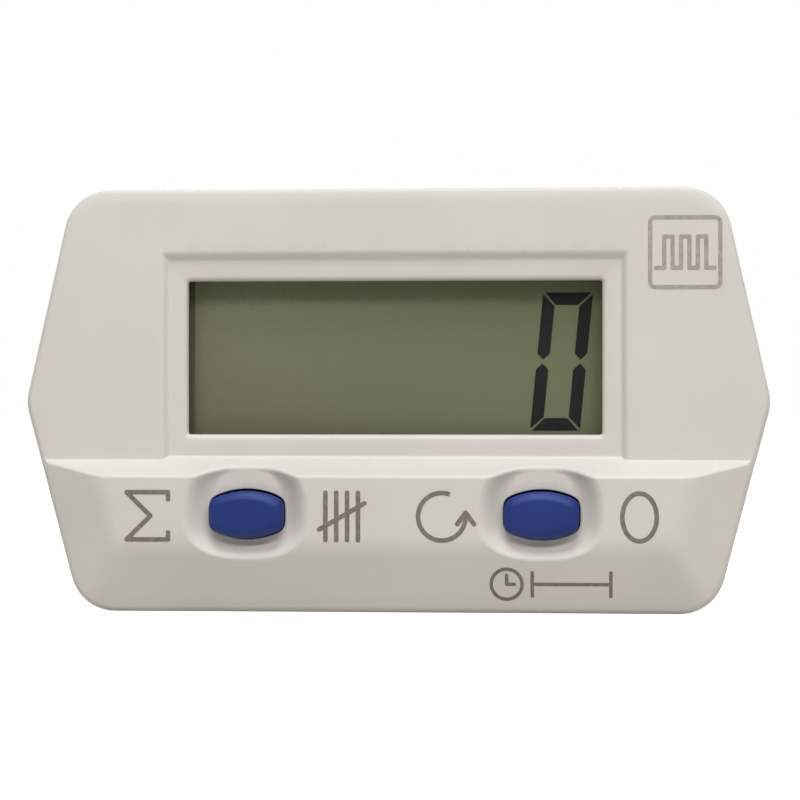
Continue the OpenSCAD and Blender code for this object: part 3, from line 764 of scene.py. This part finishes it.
def rear_sides(solid, outer, inner):
    """Side walls of the rear cover, its lip, and the stepped seat of the lead inlet."""
    lap = WALL / 2 + SLIP
    y_lip = Y_SPLIT - LIP_H
    parting = solid.ring(outline(0), Y_SPLIT + PART_EDGE)
    lip = solid.wall(parting, (
        (outline(PART_EDGE), Y_SPLIT),
        (outline(lap), Y_SPLIT),
        (outline(lap), y_lip),
        (outline(WALL), y_lip)))
    flange_r = INLET_R + INLET_SEAT_GAP
    neck_r = flange_r - INLET_FLANGE
    mouth = bottom_patch(solid, outer, parting, flange_r)
    throat = bottom_patch(solid, inner, lip, neck_r)
    step, neck = [solid.add((x, y, INLET_FLANGE) for x, y in circle_loop(INLET_AT, radius))
                  for radius in (flange_r, neck_r)]
    for first, second in ((mouth, step), (step, neck), (neck, throat)):
        solid.strip(first, second)


def bottom_patch(solid, ring, other, radius):
    """Joins two rings of the case's outline, with the inlet's hole where they run along the bottom.

    Returns the hole's ring.
    """
    first = ARC_STEPS
    last = first + max(1, round(np.hypot(*SIDES[0]) / SIDE_STEP))
    count = len(ring)
    for i in list(range(last, count)) + list(range(first)):
        j = (i + 1) % count
        solid.faces.append((ring[i], ring[j], other[j], other[i]))
    border = ring[first:last + 1] + other[first:last + 1][::-1]
    places = np.array([solid.points[i] for i in border])
    hole = circle_loop(INLET_AT, radius)
    flat, faces, rings = triangulate([places[:, :2], hole])
    numbers = dict(zip(rings[0], border))
    numbers.update(zip(rings[1], solid.add((x, y, places[0][2]) for x, y in hole)))
    for face in keep_triangles(flat, faces, hole):
        solid.faces.append(tuple(numbers[i] for i in face))
    return [numbers[i] for i in rings[1]]


def twist_cover(material):
    """Twist cover of the cell: disc with a coin slot, plug and two lugs."""
    slot_half = np.array((SLOT_LEN, SLOT_W)) / 2
    solid = Solid()

    def slot(grow):
        return box_loop(DISC_AT, slot_half + grow, SLOT_CORNER + grow)

    rim, slot_ring = rear_face(solid, lambda inset: circle_loop(DISC_AT, DISC_R - inset), DISC_EDGE, [slot])
    solid.cap(solid.wall(slot_ring, ((slot(0), Y_REAR - SLOT_DEPTH),)))
    y_disc = Y_REAR - DISC_T + SLIP
    solid.cap(solid.wall(rim, (
        (circle_loop(DISC_AT, DISC_R), y_disc),
        (circle_loop(DISC_AT, PLUG_R), y_disc),
        (circle_loop(DISC_AT, PLUG_R), Y_PLUG))))
    for side in (-1, 1):
        lug(solid, side)
    solid.finish("twist_disc", "twist_cover", "ivory_plastic", material, "cell_cover")


def lug(solid, side):
    """One lug of the twist cover, with a round outer end."""
    reach = PLUG_R + LUG_REACH
    half_turn = math.asin(LUG_W / 2 / reach)
    turns = np.linspace(-half_turn, half_turn, RIM_STEPS + 1)
    end = DISC_AT + reach * rays(turns) * (side, 1)
    root_x = DISC_AT[0] + side * (PLUG_R - LUG_REACH)
    y_rear = Y_REAR_INNER - SLIP
    solid.prism([*end, (root_x, end[-1][1]), (root_x, end[0][1])], y_rear - LUG_T, y_rear)


def button(key, material):
    """Push button: nearly flat crown with a bevelled edge, barrel sides, flange and stem."""
    at = BUTTONS[key]
    solid = Solid()
    y_flange = Y_INNER + SLIP
    sections = []
    bevel, bevel_drop = BUTTON_BEVEL
    for share in np.linspace(CROWN_START, 1, DOME_STEPS):
        inset = (1 - share) * (BUTTON_H / 2 - bevel) + bevel
        sections.append((inset, Y_PRESS + BUTTON_DOME * share ** 2))
    for k in range(1, BEVEL_STEPS + 1):
        turn = math.pi / 2 * k / BEVEL_STEPS
        inset = bevel * (1 - math.sin(turn) ** (2 / BEVEL_POWER))
        drop = bevel_drop * (1 - max(math.cos(turn), 0.0) ** (2 / BEVEL_POWER))
        sections.append((inset, Y_PRESS + BUTTON_DOME + drop))
    sections += [(0, y_flange), (-FLANGE_W, y_flange), (-FLANGE_W, y_flange + FLANGE_T)]
    loops = [(barrel_loop(at, BUTTON_W - 2 * inset, BUTTON_H - 2 * inset), y) for inset, y in sections]
    crown = solid.ring(*loops[0])
    solid.cap(crown)
    stem = circle_loop(at, STEM_R, BARREL_STEPS)
    solid.cap(solid.wall(crown, [*loops[1:], (stem, y_flange + FLANGE_T), (stem, Y_STEM)]))
    solid.finish(key + "_cap", key + "_key", "blue_plastic", material, key + "_button")


def digit_segments():
    """Outlines of the six segments of a nought, upright, about the digit's middle."""
    w, h, t = DIGIT_W / 2, DIGIT_H / 2, SEGMENT_W
    mitre = MITRE_GAP / math.sqrt(2)
    top = [(-w + mitre + SEGMENT_CUT, h), (w - mitre - SEGMENT_CUT, h),
           (w - t - mitre, h - t), (-w + t + mitre, h - t)]
    tip = TIP_GAP / 2
    side = [(-w, h - mitre - SEGMENT_CUT), (-w + t, h - t - mitre), (-w + t, tip + t / 2),
            (-w + t / 2, tip), (-w, tip + t / 2)]
    flips = ((1, 1), (1, -1), (-1, 1), (-1, -1))
    segments = [[(x, z * fz) for x, z in top] for fz in (1, -1)]
    segments += [[(x * fx, z * fz) for x, z in side] for fx, fz in flips]
    return segments


def digit(material):
    """The shown nought: thin dark segments on the display's film."""
    solid = Solid()
    for segment in digit_segments():
        loop = [DIGIT_AT + (x + z * math.tan(DIGIT_SLANT), z) for x, z in segment]
        solid.prism(loop, Y_FILM - SEGMENT_T, Y_FILM)
    solid.finish("digit_nought", "case", None, material)


def pill(first, second, width):
    """Outline of a straight stroke with round ends."""
    first, second = np.array(first, dtype=float), np.array(second, dtype=float)
    turn = math.atan2(*(second - first)[::-1])
    half_turn = turn + np.linspace(-math.pi / 2, math.pi / 2, CAP_STEPS + 1)
    ends = (second, half_turn), (first, half_turn + math.pi)
    return np.concatenate([centre + width / 2 * rays(angles) for centre, angles in ends])


def pills(path, width):
    """Outlines of the straight strokes along a path."""
    return [pill(first, second, width) for first, second in zip(path[:-1], path[1:])]


def arc(at, radius_x, radius_z, start, end, width):
    """Outline of a stroke along an elliptic arc, in degrees counter-clockwise from +X."""
    count = max(CAP_STEPS, math.ceil(abs(end - start) / MARK_ARC_STEP))
    wave = rays(np.radians(np.linspace(start, end, count + 1)))
    outer, inner = ((radius_x + grow, radius_z + grow) for grow in (width / 2, -width / 2))
    return np.concatenate((at + wave * outer, (at + wave * inner)[::-1]))


def ring(at, radius_x, radius_z, width):
    """Outlines of the two halves of a stroke round an ellipse."""
    return [arc(at, radius_x, radius_z, start, start + 180, width) for start in (0, 180)]


def finer(loop):
    """Closed loop with more points along its straight stretches."""
    points = []
    for start, end in zip(loop, np.roll(loop, -1, axis=0)):
        count = max(1, math.ceil(np.hypot(*(end - start)) / MARK_STEP))
        points += [start + (end - start) * k / count for k in range(count)]
    return points


def ink(solid, shapes):
    """Prints the union of front-view shapes as one thin layer that follows the front cover's face."""
    points, outlines = number_loops([finer(shape) for shape in shapes])
    verts, _, triangles, _, _, sources = delaunay_2d_cdt(points, [], outlines, 0, INK_WELD)
    flat = np.array([vert[:] for vert in verts])
    kept = [tuple(triangle) for triangle, source in zip(triangles, sources) if source]
    y = front_y(*flat.T)
    layers = [solid.patch(flat, kept, y + shift) for shift in (-INK_RISE, INK_SINK)]
    sides = [(a, b) for triangle in kept for a, b in zip(triangle, triangle[1:] + triangle[:1])]
    used = Counter(frozenset(side) for side in sides)
    for a, b in sides:
        if used[frozenset((a, b))] == 1:
            solid.faces.append((layers[0][a], layers[0][b], layers[1][b], layers[1][a]))


def sum_mark(at):
    """Plain sum sign."""
    w, h = SUM_HALF, (MARK_H - MARK_LINE) / 2
    upper = ((w, h - SUM_SERIF), (w, h), (-w, h))
    corners = (*upper, (SUM_NOTCH, 0), *[(x, -z) for x, z in upper[::-1]])
    return pills([at + corner for corner in corners], MARK_LINE)


def tally_mark(at):
    """Upright strokes and one across them."""
    w, h = (MARK_W - MARK_LINE) / 2, (MARK_H - MARK_LINE) / 2
    shapes = []
    for k in range(TALLY_COUNT):
        x = (k - (TALLY_COUNT - 1) / 2) * TALLY_PITCH
        shapes.append(pill(at + (x, -h), at + (x, h), MARK_LINE))
    return shapes + [pill(at + (-w, -TALLY_RISE * h), at + (w, TALLY_RISE * h), MARK_LINE)]


def return_mark(at):
    """Open circle with an arrow head at its end."""
    radius = (MARK_H - MARK_LINE) / 2
    tip = at + (radius, 0)
    turns = ((RETURN_START, 180), (180, 360))
    shapes = [arc(at, radius, radius, start, end, MARK_LINE) for start, end in turns]
    head = ((-ARROW_HALF, -ARROW_DROP), (0, ARROW_RISE), (ARROW_HALF, -ARROW_DROP))
    return shapes + pills([tip + corner for corner in head], MARK_LINE)


def nought_mark(at):
    """Plain nought."""
    return ring(at, NOUGHT_HALF, (MARK_H - MARK_LINE) / 2, MARK_LINE)


def hold_mark(at):
    """Clock face and a bar between two ticks, for a press that is held."""
    radius = (HOLD_H - HOLD_LINE) / 2
    clock = at - (HOLD_W / 2 - HOLD_H / 2, 0)
    hands = ((0, MINUTE_HAND * radius), (0, 0), (HOUR_HAND * radius, 0))
    first, last = clock + (HOLD_H / 2 + HOLD_GAP, 0), at + (HOLD_W / 2, 0)
    shapes = ring(clock, radius, radius, HOLD_LINE)
    shapes += pills([clock + hand for hand in hands], HOLD_LINE)
    shapes.append(pill(first, last, HOLD_LINE))
    tick = np.array((0, TICK_HALF))
    return shapes + [pill(end - tick, end + tick, HOLD_LINE) for end in (first, last)]


def pulse_mark(at):
    """Train of square pulses in a square frame."""
    step = PULSE_W / (2 * PULSE_COUNT + 1)
    path = [(-PULSE_W / 2, -PULSE_H / 2)]
    for k in range(2 * PULSE_COUNT):
        x = -PULSE_W / 2 + (k + 1) * step
        level = (-PULSE_H / 2, PULSE_H / 2)
        path += [(x, level[k % 2]), (x, level[1 - k % 2])]
    path.append((PULSE_W / 2, -PULSE_H / 2))
    half = np.array((SIGN_HALF, SIGN_HALF))
    outer, inner = (box_loop(at, half + grow, SIGN_CORNER + grow) for grow in (0, -PULSE_LINE))
    turn = len(outer) // 2
    frame_halves = [np.concatenate((np.roll(outer, k, axis=0)[:turn + 1],
                                    np.roll(inner, k, axis=0)[:turn + 1][::-1])) for k in (0, turn)]
    return frame_halves + pills([at + corner for corner in path], PULSE_LINE)


def front_marks(material):
    """Generic signs printed beside and under the buttons."""
    solid = Solid()
    ink(solid, sum_mark(BUTTONS["total"] + MARK_BEFORE))
    ink(solid, tally_mark(BUTTONS["total"] + MARK_AFTER))
    ink(solid, return_mark(BUTTONS["reset"] + MARK_BEFORE))
    ink(solid, nought_mark(BUTTONS["reset"] + MARK_AFTER))
    ink(solid, hold_mark(BUTTONS["reset"] + HOLD_FROM_BUTTON))
    solid.finish("front_marks", "case", None, material)


def pulse_sign(material):
    """Generic sign printed beside the display."""
    solid = Solid()
    ink(solid, pulse_mark(SIGN_AT))
    solid.finish("pulse_sign", "case", None, material)


def srgb(red, green, blue):
    """Linear colour of an 8-bit display colour."""
    def linear(value):
        share = value / 255
        return share / 12.92 if share <= 0.04045 else ((share + 0.055) / 1.055) ** 2.4
    return (linear(red), linear(green), linear(blue), 1.0)


# Colours
WHITE = (1, 1, 1, 1)
GLOSS = 0.5
IVORY_DARK = srgb(195, 191, 186)
IVORY_LIGHT = srgb(201, 197, 191)
IVORY_SPECK = srgb(205, 202, 197)
BLUE_DARK = srgb(24, 38, 98)
BLUE_LIGHT = srgb(29, 45, 106)
FILM_DARK = srgb(116, 120, 97)
FILM_LIGHT = srgb(124, 130, 105)
# Painted shade: the film darker towards its bottom and its right, standing for how the light falls across
# it
FILM_LOWER_SHADE = srgb(101, 101, 79)
FILM_RIGHT_SHADE = srgb(104, 111, 84)
# Painted shade: dark band along the film's left and right edges, in the shade of the window's side walls
FILM_EDGE_SHADE = srgb(88, 85, 72)

# Grained finishes: dark and light tone, size of patches and of grain, depth of relief, roughness, and
# the strength and tint of the gloss where they aren't the shader's own
GRAINED = {
    "blue_plastic": (BLUE_DARK, BLUE_LIGHT, 4, 0.18, 0.003, (0.4, 0.5), 0.4, (0.45, 0.6, 1, 1)),
    "black_tape": (srgb(20, 19, 19), srgb(30, 29, 28), 2, 0.1, 0.01, (0.7, 0.9)),
    "display_glass": (srgb(120, 132, 116), srgb(130, 142, 124), 8, 0.5, 0.001, (0.05, 0.1)),
    "reflector_film": (srgb(98, 104, 84), srgb(106, 112, 92), 6, 0.1, 0.003, (0.4, 0.55)),
    "white_plastic": (srgb(222, 222, 217), srgb(232, 232, 228), 5, 0.2, 0.006, (0.45, 0.6)),
    "grey_elastomer": (srgb(92, 90, 90), srgb(110, 108, 106), 1, 0.1, 0.01, (0.7, 0.85)),
    "black_moulding": (srgb(24, 24, 25), srgb(34, 34, 35), 2, 0.15, 0.01, (0.45, 0.65)),
    "ceramic": (srgb(142, 118, 90), srgb(160, 136, 106), 0.8, 0.1, 0.004, (0.4, 0.6)),
    "green_plastic": (srgb(38, 96, 62), srgb(46, 108, 72), 3, 0.15, 0.006, (0.4, 0.55)),
    "black_rubber": (srgb(26, 25, 25), srgb(38, 37, 36), 1.5, 0.12, 0.012, (0.65, 0.85)),
    "segment_dark": (srgb(14, 14, 18), srgb(18, 18, 22), 3, 0.3, 0.0, (0.5, 0.65), 0.1),
    "print_ink": (srgb(104, 95, 92), srgb(126, 117, 113), 0.5, 0.15, 0.002, (0.55, 0.7), 0.3),
    "pale_ink": (srgb(148, 139, 134), srgb(166, 158, 153), 0.5, 0.15, 0.002, (0.55, 0.7), 0.3),
}

# Brushed metals: dark and light tone, stretch of the lines along the axes, roughness
BRUSHED = {
    "steel": (srgb(172, 172, 170), srgb(200, 199, 196), (1, 1, 12), (0.26, 0.38)),
    "tinned_metal": (srgb(190, 189, 184), srgb(210, 209, 204), (6, 1, 1), (0.32, 0.48)),
    "brass": (srgb(176, 138, 72), srgb(206, 168, 96), (1, 8, 1), (0.24, 0.4)),
}

# Numbers of the colour sockets of a Mix node
MIX_INPUTS = (6, 7)
MIX_OUTPUT = 2

# Camera
SENSOR = 36.0
CAMERA_LENS = 116.55
CAMERA_RANGE = 250.0
CAMERA_AZIMUTH = 4.3
CAMERA_SHIFT_X = 0.0068
CAMERA_SHIFT_Y = 0.000625

# Light
AMBIENT = 0.23
AMBIENT_COLOUR = (1.0, 0.94, 0.87, 1)
BACKGROUND = 1.0
LAMP_REACH = 600.0
WARM_WHITE = (1.0, 0.985, 0.965)
COOL_WHITE = (0.97, 1.0, 1.03)

# Azimuth and elevation in degrees, width and height, power in watts and colour of each lamp
LAMPS = {
    "key_lamp": (14, 38, (700.0, 140.0), 2.35, WARM_WHITE),
    "top_lamp": (0, 70, (300.0, 300.0), 2.4, COOL_WHITE),
    "back_lamp": (180, 20, (700.0, 160.0), 2.0, WARM_WHITE),
}

# Floor
FLOOR_SIZE = 6000.0
FLOOR_BOUNCE = (0.52, 0.5, 0.46, 1)
FLOOR_SHADE = (0.45, 0.45, 0.45, 1)
FLOOR_GLOW = 0.912


class Finish:
    """A material with one Principled shader, and short calls for its procedural nodes."""

    def __init__(self, name, **sockets):
        self.material = bpy.data.materials.new(name)
        self.material.use_nodes = True
        tree = self.material.node_tree
        self.nodes = tree.nodes
        self.links = tree.links
        self.shader = self.nodes["Principled BSDF"]
        self.place = self.nodes.new("ShaderNodeTexCoord").outputs["Object"]
        for socket, value in sockets.items():
            self.shader.inputs[socket.replace("_", " ")].default_value = value

    def noise(self, size, detail=2.0, stretch=(1, 1, 1)):
        """Noise with features of a size in millimetres, stretched along the axes."""
        mapping = self.nodes.new("ShaderNodeMapping")
        mapping.inputs["Scale"].default_value = [1 / (size * MM * s) for s in stretch]
        self.links.new(self.place, mapping.inputs["Vector"])
        node = self.nodes.new("ShaderNodeTexNoise")
        node.inputs["Scale"].default_value = 1.0
        node.inputs["Detail"].default_value = detail
        self.links.new(mapping.outputs["Vector"], node.inputs["Vector"])
        return node.outputs["Fac"]

    def spread(self, value, low, high, start=0.3, end=0.7):
        """Value carried from one range to another, and held at its ends."""
        node = self.nodes.new("ShaderNodeMapRange")
        for socket, number in zip(("From Min", "From Max", "To Min", "To Max"), (start, end, low, high)):
            node.inputs[socket].default_value = number
        self.links.new(value, node.inputs["Value"])
        return node.outputs["Result"]

    def mix(self, share, first, second):
        """Colour between two colours or colour sockets."""
        node = self.nodes.new("ShaderNodeMix")
        node.data_type = "RGBA"
        self.links.new(share, node.inputs["Factor"])
        for number, colour in zip(MIX_INPUTS, (first, second)):
            if isinstance(colour, tuple):
                node.inputs[number].default_value = colour
            else:
                self.links.new(colour, node.inputs[number])
        return node.outputs[MIX_OUTPUT]

    def bump(self, height, depth):
        """Fine relief of a depth in millimetres."""
        node = self.nodes.new("ShaderNodeBump")
        node.inputs["Strength"].default_value = 1.0
        node.inputs["Distance"].default_value = depth * MM
        self.links.new(height, node.inputs["Height"])
        self.feed("Normal", node.outputs["Normal"])

    def feed(self, socket, value):
        """Drives a socket of the shader."""
        self.links.new(value, self.shader.inputs[socket])


def grained(name, dark, light, patch, grain, relief, rough, gloss=GLOSS, tint=WHITE):
    """Material with two near tones in soft patches, a fine grain and an uneven gloss."""
    finish = Finish(name, Specular_IOR_Level=gloss, Specular_Tint=tint)
    finish.feed("Base Color", finish.mix(finish.spread(finish.noise(patch, 3.0), 0, 1), dark, light))
    fine = finish.noise(grain, 3.0)
    finish.feed("Roughness", finish.spread(fine, *rough))
    finish.bump(fine, relief)
    return finish.material


def brushed(name, dark, light, stretch, rough):
    """Metal with fine lines along one direction."""
    finish = Finish(name, Metallic=1.0)
    lines = finish.noise(0.12, 3.0, stretch)
    finish.feed("Base Color", finish.mix(finish.spread(lines, 0, 1), dark, light))
    finish.feed("Roughness", finish.spread(finish.noise(1.5, 3.0), *rough))
    finish.bump(lines, 0.004)
    return finish.material


def ivory_plastic():
    """Ivory moulded plastic: faint uneven tone, fine spark-eroded texture, satin gloss."""
    finish = Finish("ivory_plastic")
    tone = finish.mix(finish.spread(finish.noise(14, 3.0), 0, 1), IVORY_DARK, IVORY_LIGHT)
    speck = finish.spread(finish.noise(0.35, 2.0), 0, 1, 0.62, 0.85)
    finish.feed("Base Color", finish.mix(speck, tone, IVORY_SPECK))
    grain = finish.noise(0.22, 4.0)
    finish.feed("Roughness", finish.spread(grain, 0.42, 0.58))
    finish.bump(grain, 0.008)
    return finish.material


def display_film():
    """Front film of the display: grey-green and a little uneven, with painted shade that darkens it towards
    the bottom and the right, and a dark band of painted shade along its left and right edges.
    """
    finish = Finish("display_film", Specular_IOR_Level=0.12)
    tone = finish.mix(finish.spread(finish.noise(0.3, 2.0), 0, 1), FILM_DARK, FILM_LIGHT)
    place = finish.nodes.new("ShaderNodeSeparateXYZ")
    finish.links.new(finish.place, place.inputs["Vector"])
    # Painted shade: the film darkens towards its bottom and its right
    low, high = ((WINDOW_AT[1] + side * WINDOW_HALF[1]) * MM for side in (-1, 1))
    tone = finish.mix(finish.spread(place.outputs["Z"], 1, 0, low, high), tone, FILM_LOWER_SHADE)
    reach = WINDOW_HALF[0] * MM
    tone = finish.mix(finish.spread(place.outputs["X"], 0, 1, -reach, reach), tone, FILM_RIGHT_SHADE)
    # Painted shade: a dark band along the left and right edges of the film
    edge = finish.nodes.new("ShaderNodeMath")
    edge.operation = "ABSOLUTE"
    finish.links.new(place.outputs["X"], edge.inputs[0])
    reach -= EDGE_SHADE_W * MM
    edge_shade = finish.spread(edge.outputs["Value"], 0, 1, reach - EDGE_SHADE_SOFT * MM, reach + EDGE_SHADE_SOFT * MM)
    finish.feed("Base Color", finish.mix(edge_shade, tone, FILM_EDGE_SHADE))
    finish.feed("Roughness", finish.spread(finish.noise(0.12, 2.0), 0.45, 0.6))
    return finish.material


def clear_lens():
    """Clear lens: nearly invisible, with a faint haze and a polished gloss."""
    finish = Finish("clear_lens", Base_Color=(0.3, 0.32, 0.3, 1), Roughness=0.06)
    haze = finish.noise(6, 3.0)
    finish.feed("Alpha", finish.spread(haze, 0.006, 0.016))
    return finish.material


def board_laminate():
    """Green solder resist over a faint weave."""
    finish = Finish("board_laminate", Coat_Weight=0.3)
    weave = finish.nodes.new("ShaderNodeTexChecker")
    weave.inputs["Scale"].default_value = 1 / (0.4 * MM)
    finish.links.new(finish.place, weave.inputs["Vector"])
    finish.feed("Base Color", finish.mix(weave.outputs["Fac"], srgb(22, 92, 52), srgb(26, 100, 58)))
    finish.feed("Roughness", finish.spread(finish.noise(2, 2.0), 0.3, 0.45))
    return finish.material


def make_materials():
    """One material for each slot of the record, and three for the digit and the printed signs."""
    materials = {
        "ivory_plastic": ivory_plastic(),
        "clear_lens": clear_lens(),
        "polariser_film": display_film(),
        "board_laminate": board_laminate(),
    }
    for name, look in GRAINED.items():
        materials[name] = grained(name, *look)
    for name, look in BRUSHED.items():
        materials[name] = brushed(name, *look)
    return materials


def dress_nodes(materials):
    """Gives every CAD node the material of its slot."""
    for subpart in frame["record"]["subparts"]:
        mesh = frame["nodes"][subpart["node"]].data
        mesh.materials.clear()
        mesh.materials.append(materials[subpart["material_slot"]])


def aim(obj, azimuth, elevation, reach):
    """Puts a lamp or the camera in the scene, turned to the middle of the case's front.

    The angles are degrees, and the azimuth turns from the front towards +X.
    """
    turn, rise = math.radians(azimuth), math.radians(elevation)
    away = Vector((math.cos(rise) * math.sin(turn), -math.cos(rise) * math.cos(turn), math.sin(rise)))
    obj.location = (Vector((0, Y_FACE, CASE_H / 2)) + away * reach) * MM
    obj.rotation_euler = (-away).to_track_quat("-Z", "Y").to_euler()
    bpy.context.scene.collection.objects.link(obj)


def add_camera():
    """Camera at the photograph's viewing angle."""
    data = bpy.data.cameras.new("camera")
    data.sensor_width = SENSOR
    data.lens = CAMERA_LENS
    data.shift_x = CAMERA_SHIFT_X
    data.shift_y = CAMERA_SHIFT_Y
    camera = bpy.data.objects.new("camera", data)
    aim(camera, CAMERA_AZIMUTH, 0, CAMERA_RANGE)
    bpy.context.scene.camera = camera


def add_lamp(name, azimuth, elevation, size, power, colour):
    """Rectangular soft lamp."""
    data = bpy.data.lights.new(name, "AREA")
    data.shape = "RECTANGLE"
    data.size, data.size_y = size[0] * MM, size[1] * MM
    data.energy = power
    data.color = colour
    aim(bpy.data.objects.new(name, data), azimuth, elevation, LAMP_REACH)


def seen_directly(tree):
    """Node output that is 1 for camera, glossy and transmission rays."""
    path = tree.nodes.new("ShaderNodeLightPath")
    total = path.outputs["Is Camera Ray"]
    for kind in ("Is Glossy Ray", "Is Transmission Ray"):
        node = tree.nodes.new("ShaderNodeMath")
        node.operation = "MAXIMUM"
        tree.links.new(total, node.inputs[0])
        tree.links.new(path.outputs[kind], node.inputs[1])
        total = node.outputs["Value"]
    return total


def add_world():
    """Soft light from all round, with a pale background where it is seen directly."""
    world = bpy.data.worlds.new("studio")
    bpy.context.scene.world = world
    world.use_nodes = True
    tree = world.node_tree
    tree.nodes.clear()
    shaders = []
    for colour, strength in ((AMBIENT_COLOUR, AMBIENT), (WHITE, BACKGROUND)):
        node = tree.nodes.new("ShaderNodeBackground")
        node.inputs["Color"].default_value = colour
        node.inputs["Strength"].default_value = strength
        shaders.append(node.outputs["Background"])
    finish_mix(tree, shaders, "ShaderNodeOutputWorld")


def finish_mix(tree, shaders, output_type):
    """Joins a lighting shader and a seen shader to the output, by the kind of ray."""
    mix = tree.nodes.new("ShaderNodeMixShader")
    for socket, value in zip(mix.inputs, (seen_directly(tree), *shaders)):
        tree.links.new(value, socket)
    output = tree.nodes.new(output_type)
    tree.links.new(mix.outputs["Shader"], output.inputs["Surface"])


def floor_material():
    """Plain floor: a grey bounce on the object, and near white with its shadow where it is seen."""
    material = bpy.data.materials.new("floor")
    material.use_nodes = True
    tree = material.node_tree
    tree.nodes.clear()
    bounce = tree.nodes.new("ShaderNodeBsdfDiffuse")
    bounce.inputs["Color"].default_value = FLOOR_BOUNCE
    shade = tree.nodes.new("ShaderNodeBsdfDiffuse")
    shade.inputs["Color"].default_value = FLOOR_SHADE
    glow = tree.nodes.new("ShaderNodeEmission")
    glow.inputs["Strength"].default_value = FLOOR_GLOW
    seen = tree.nodes.new("ShaderNodeAddShader")
    tree.links.new(shade.outputs["BSDF"], seen.inputs[0])
    tree.links.new(glow.outputs["Emission"], seen.inputs[1])
    finish_mix(tree, (bounce.outputs["BSDF"], seen.outputs["Shader"]), "ShaderNodeOutputMaterial")
    return material


def add_floor():
    """Floor under the case."""
    half = FLOOR_SIZE / 2 * MM
    mesh = bpy.data.meshes.new("floor")
    mesh.from_pydata([(-half, -half, 0), (half, -half, 0), (half, half, 0), (-half, half, 0)], [],
                     [(0, 1, 2, 3)])
    mesh.materials.append(floor_material())
    floor = bpy.data.objects.new("floor", mesh)
    bpy.context.scene.collection.objects.link(floor)


def main():
    """Builds the pieces, dresses the CAD nodes and sets the stage."""
    bpy.context.scene.view_settings.view_transform = "Standard"
    materials = make_materials()
    dress_nodes(materials)
    for cover in (front_cover, rear_cover, twist_cover):
        cover(materials["ivory_plastic"])
    for key in BUTTONS:
        button(key, materials["blue_plastic"])
    digit(materials["segment_dark"])
    front_marks(materials["print_ink"])
    pulse_sign(materials["pale_ink"])
    add_camera()
    for name, lamp in LAMPS.items():
        add_lamp(name, *lamp)
    add_world()
    add_floor()


main()
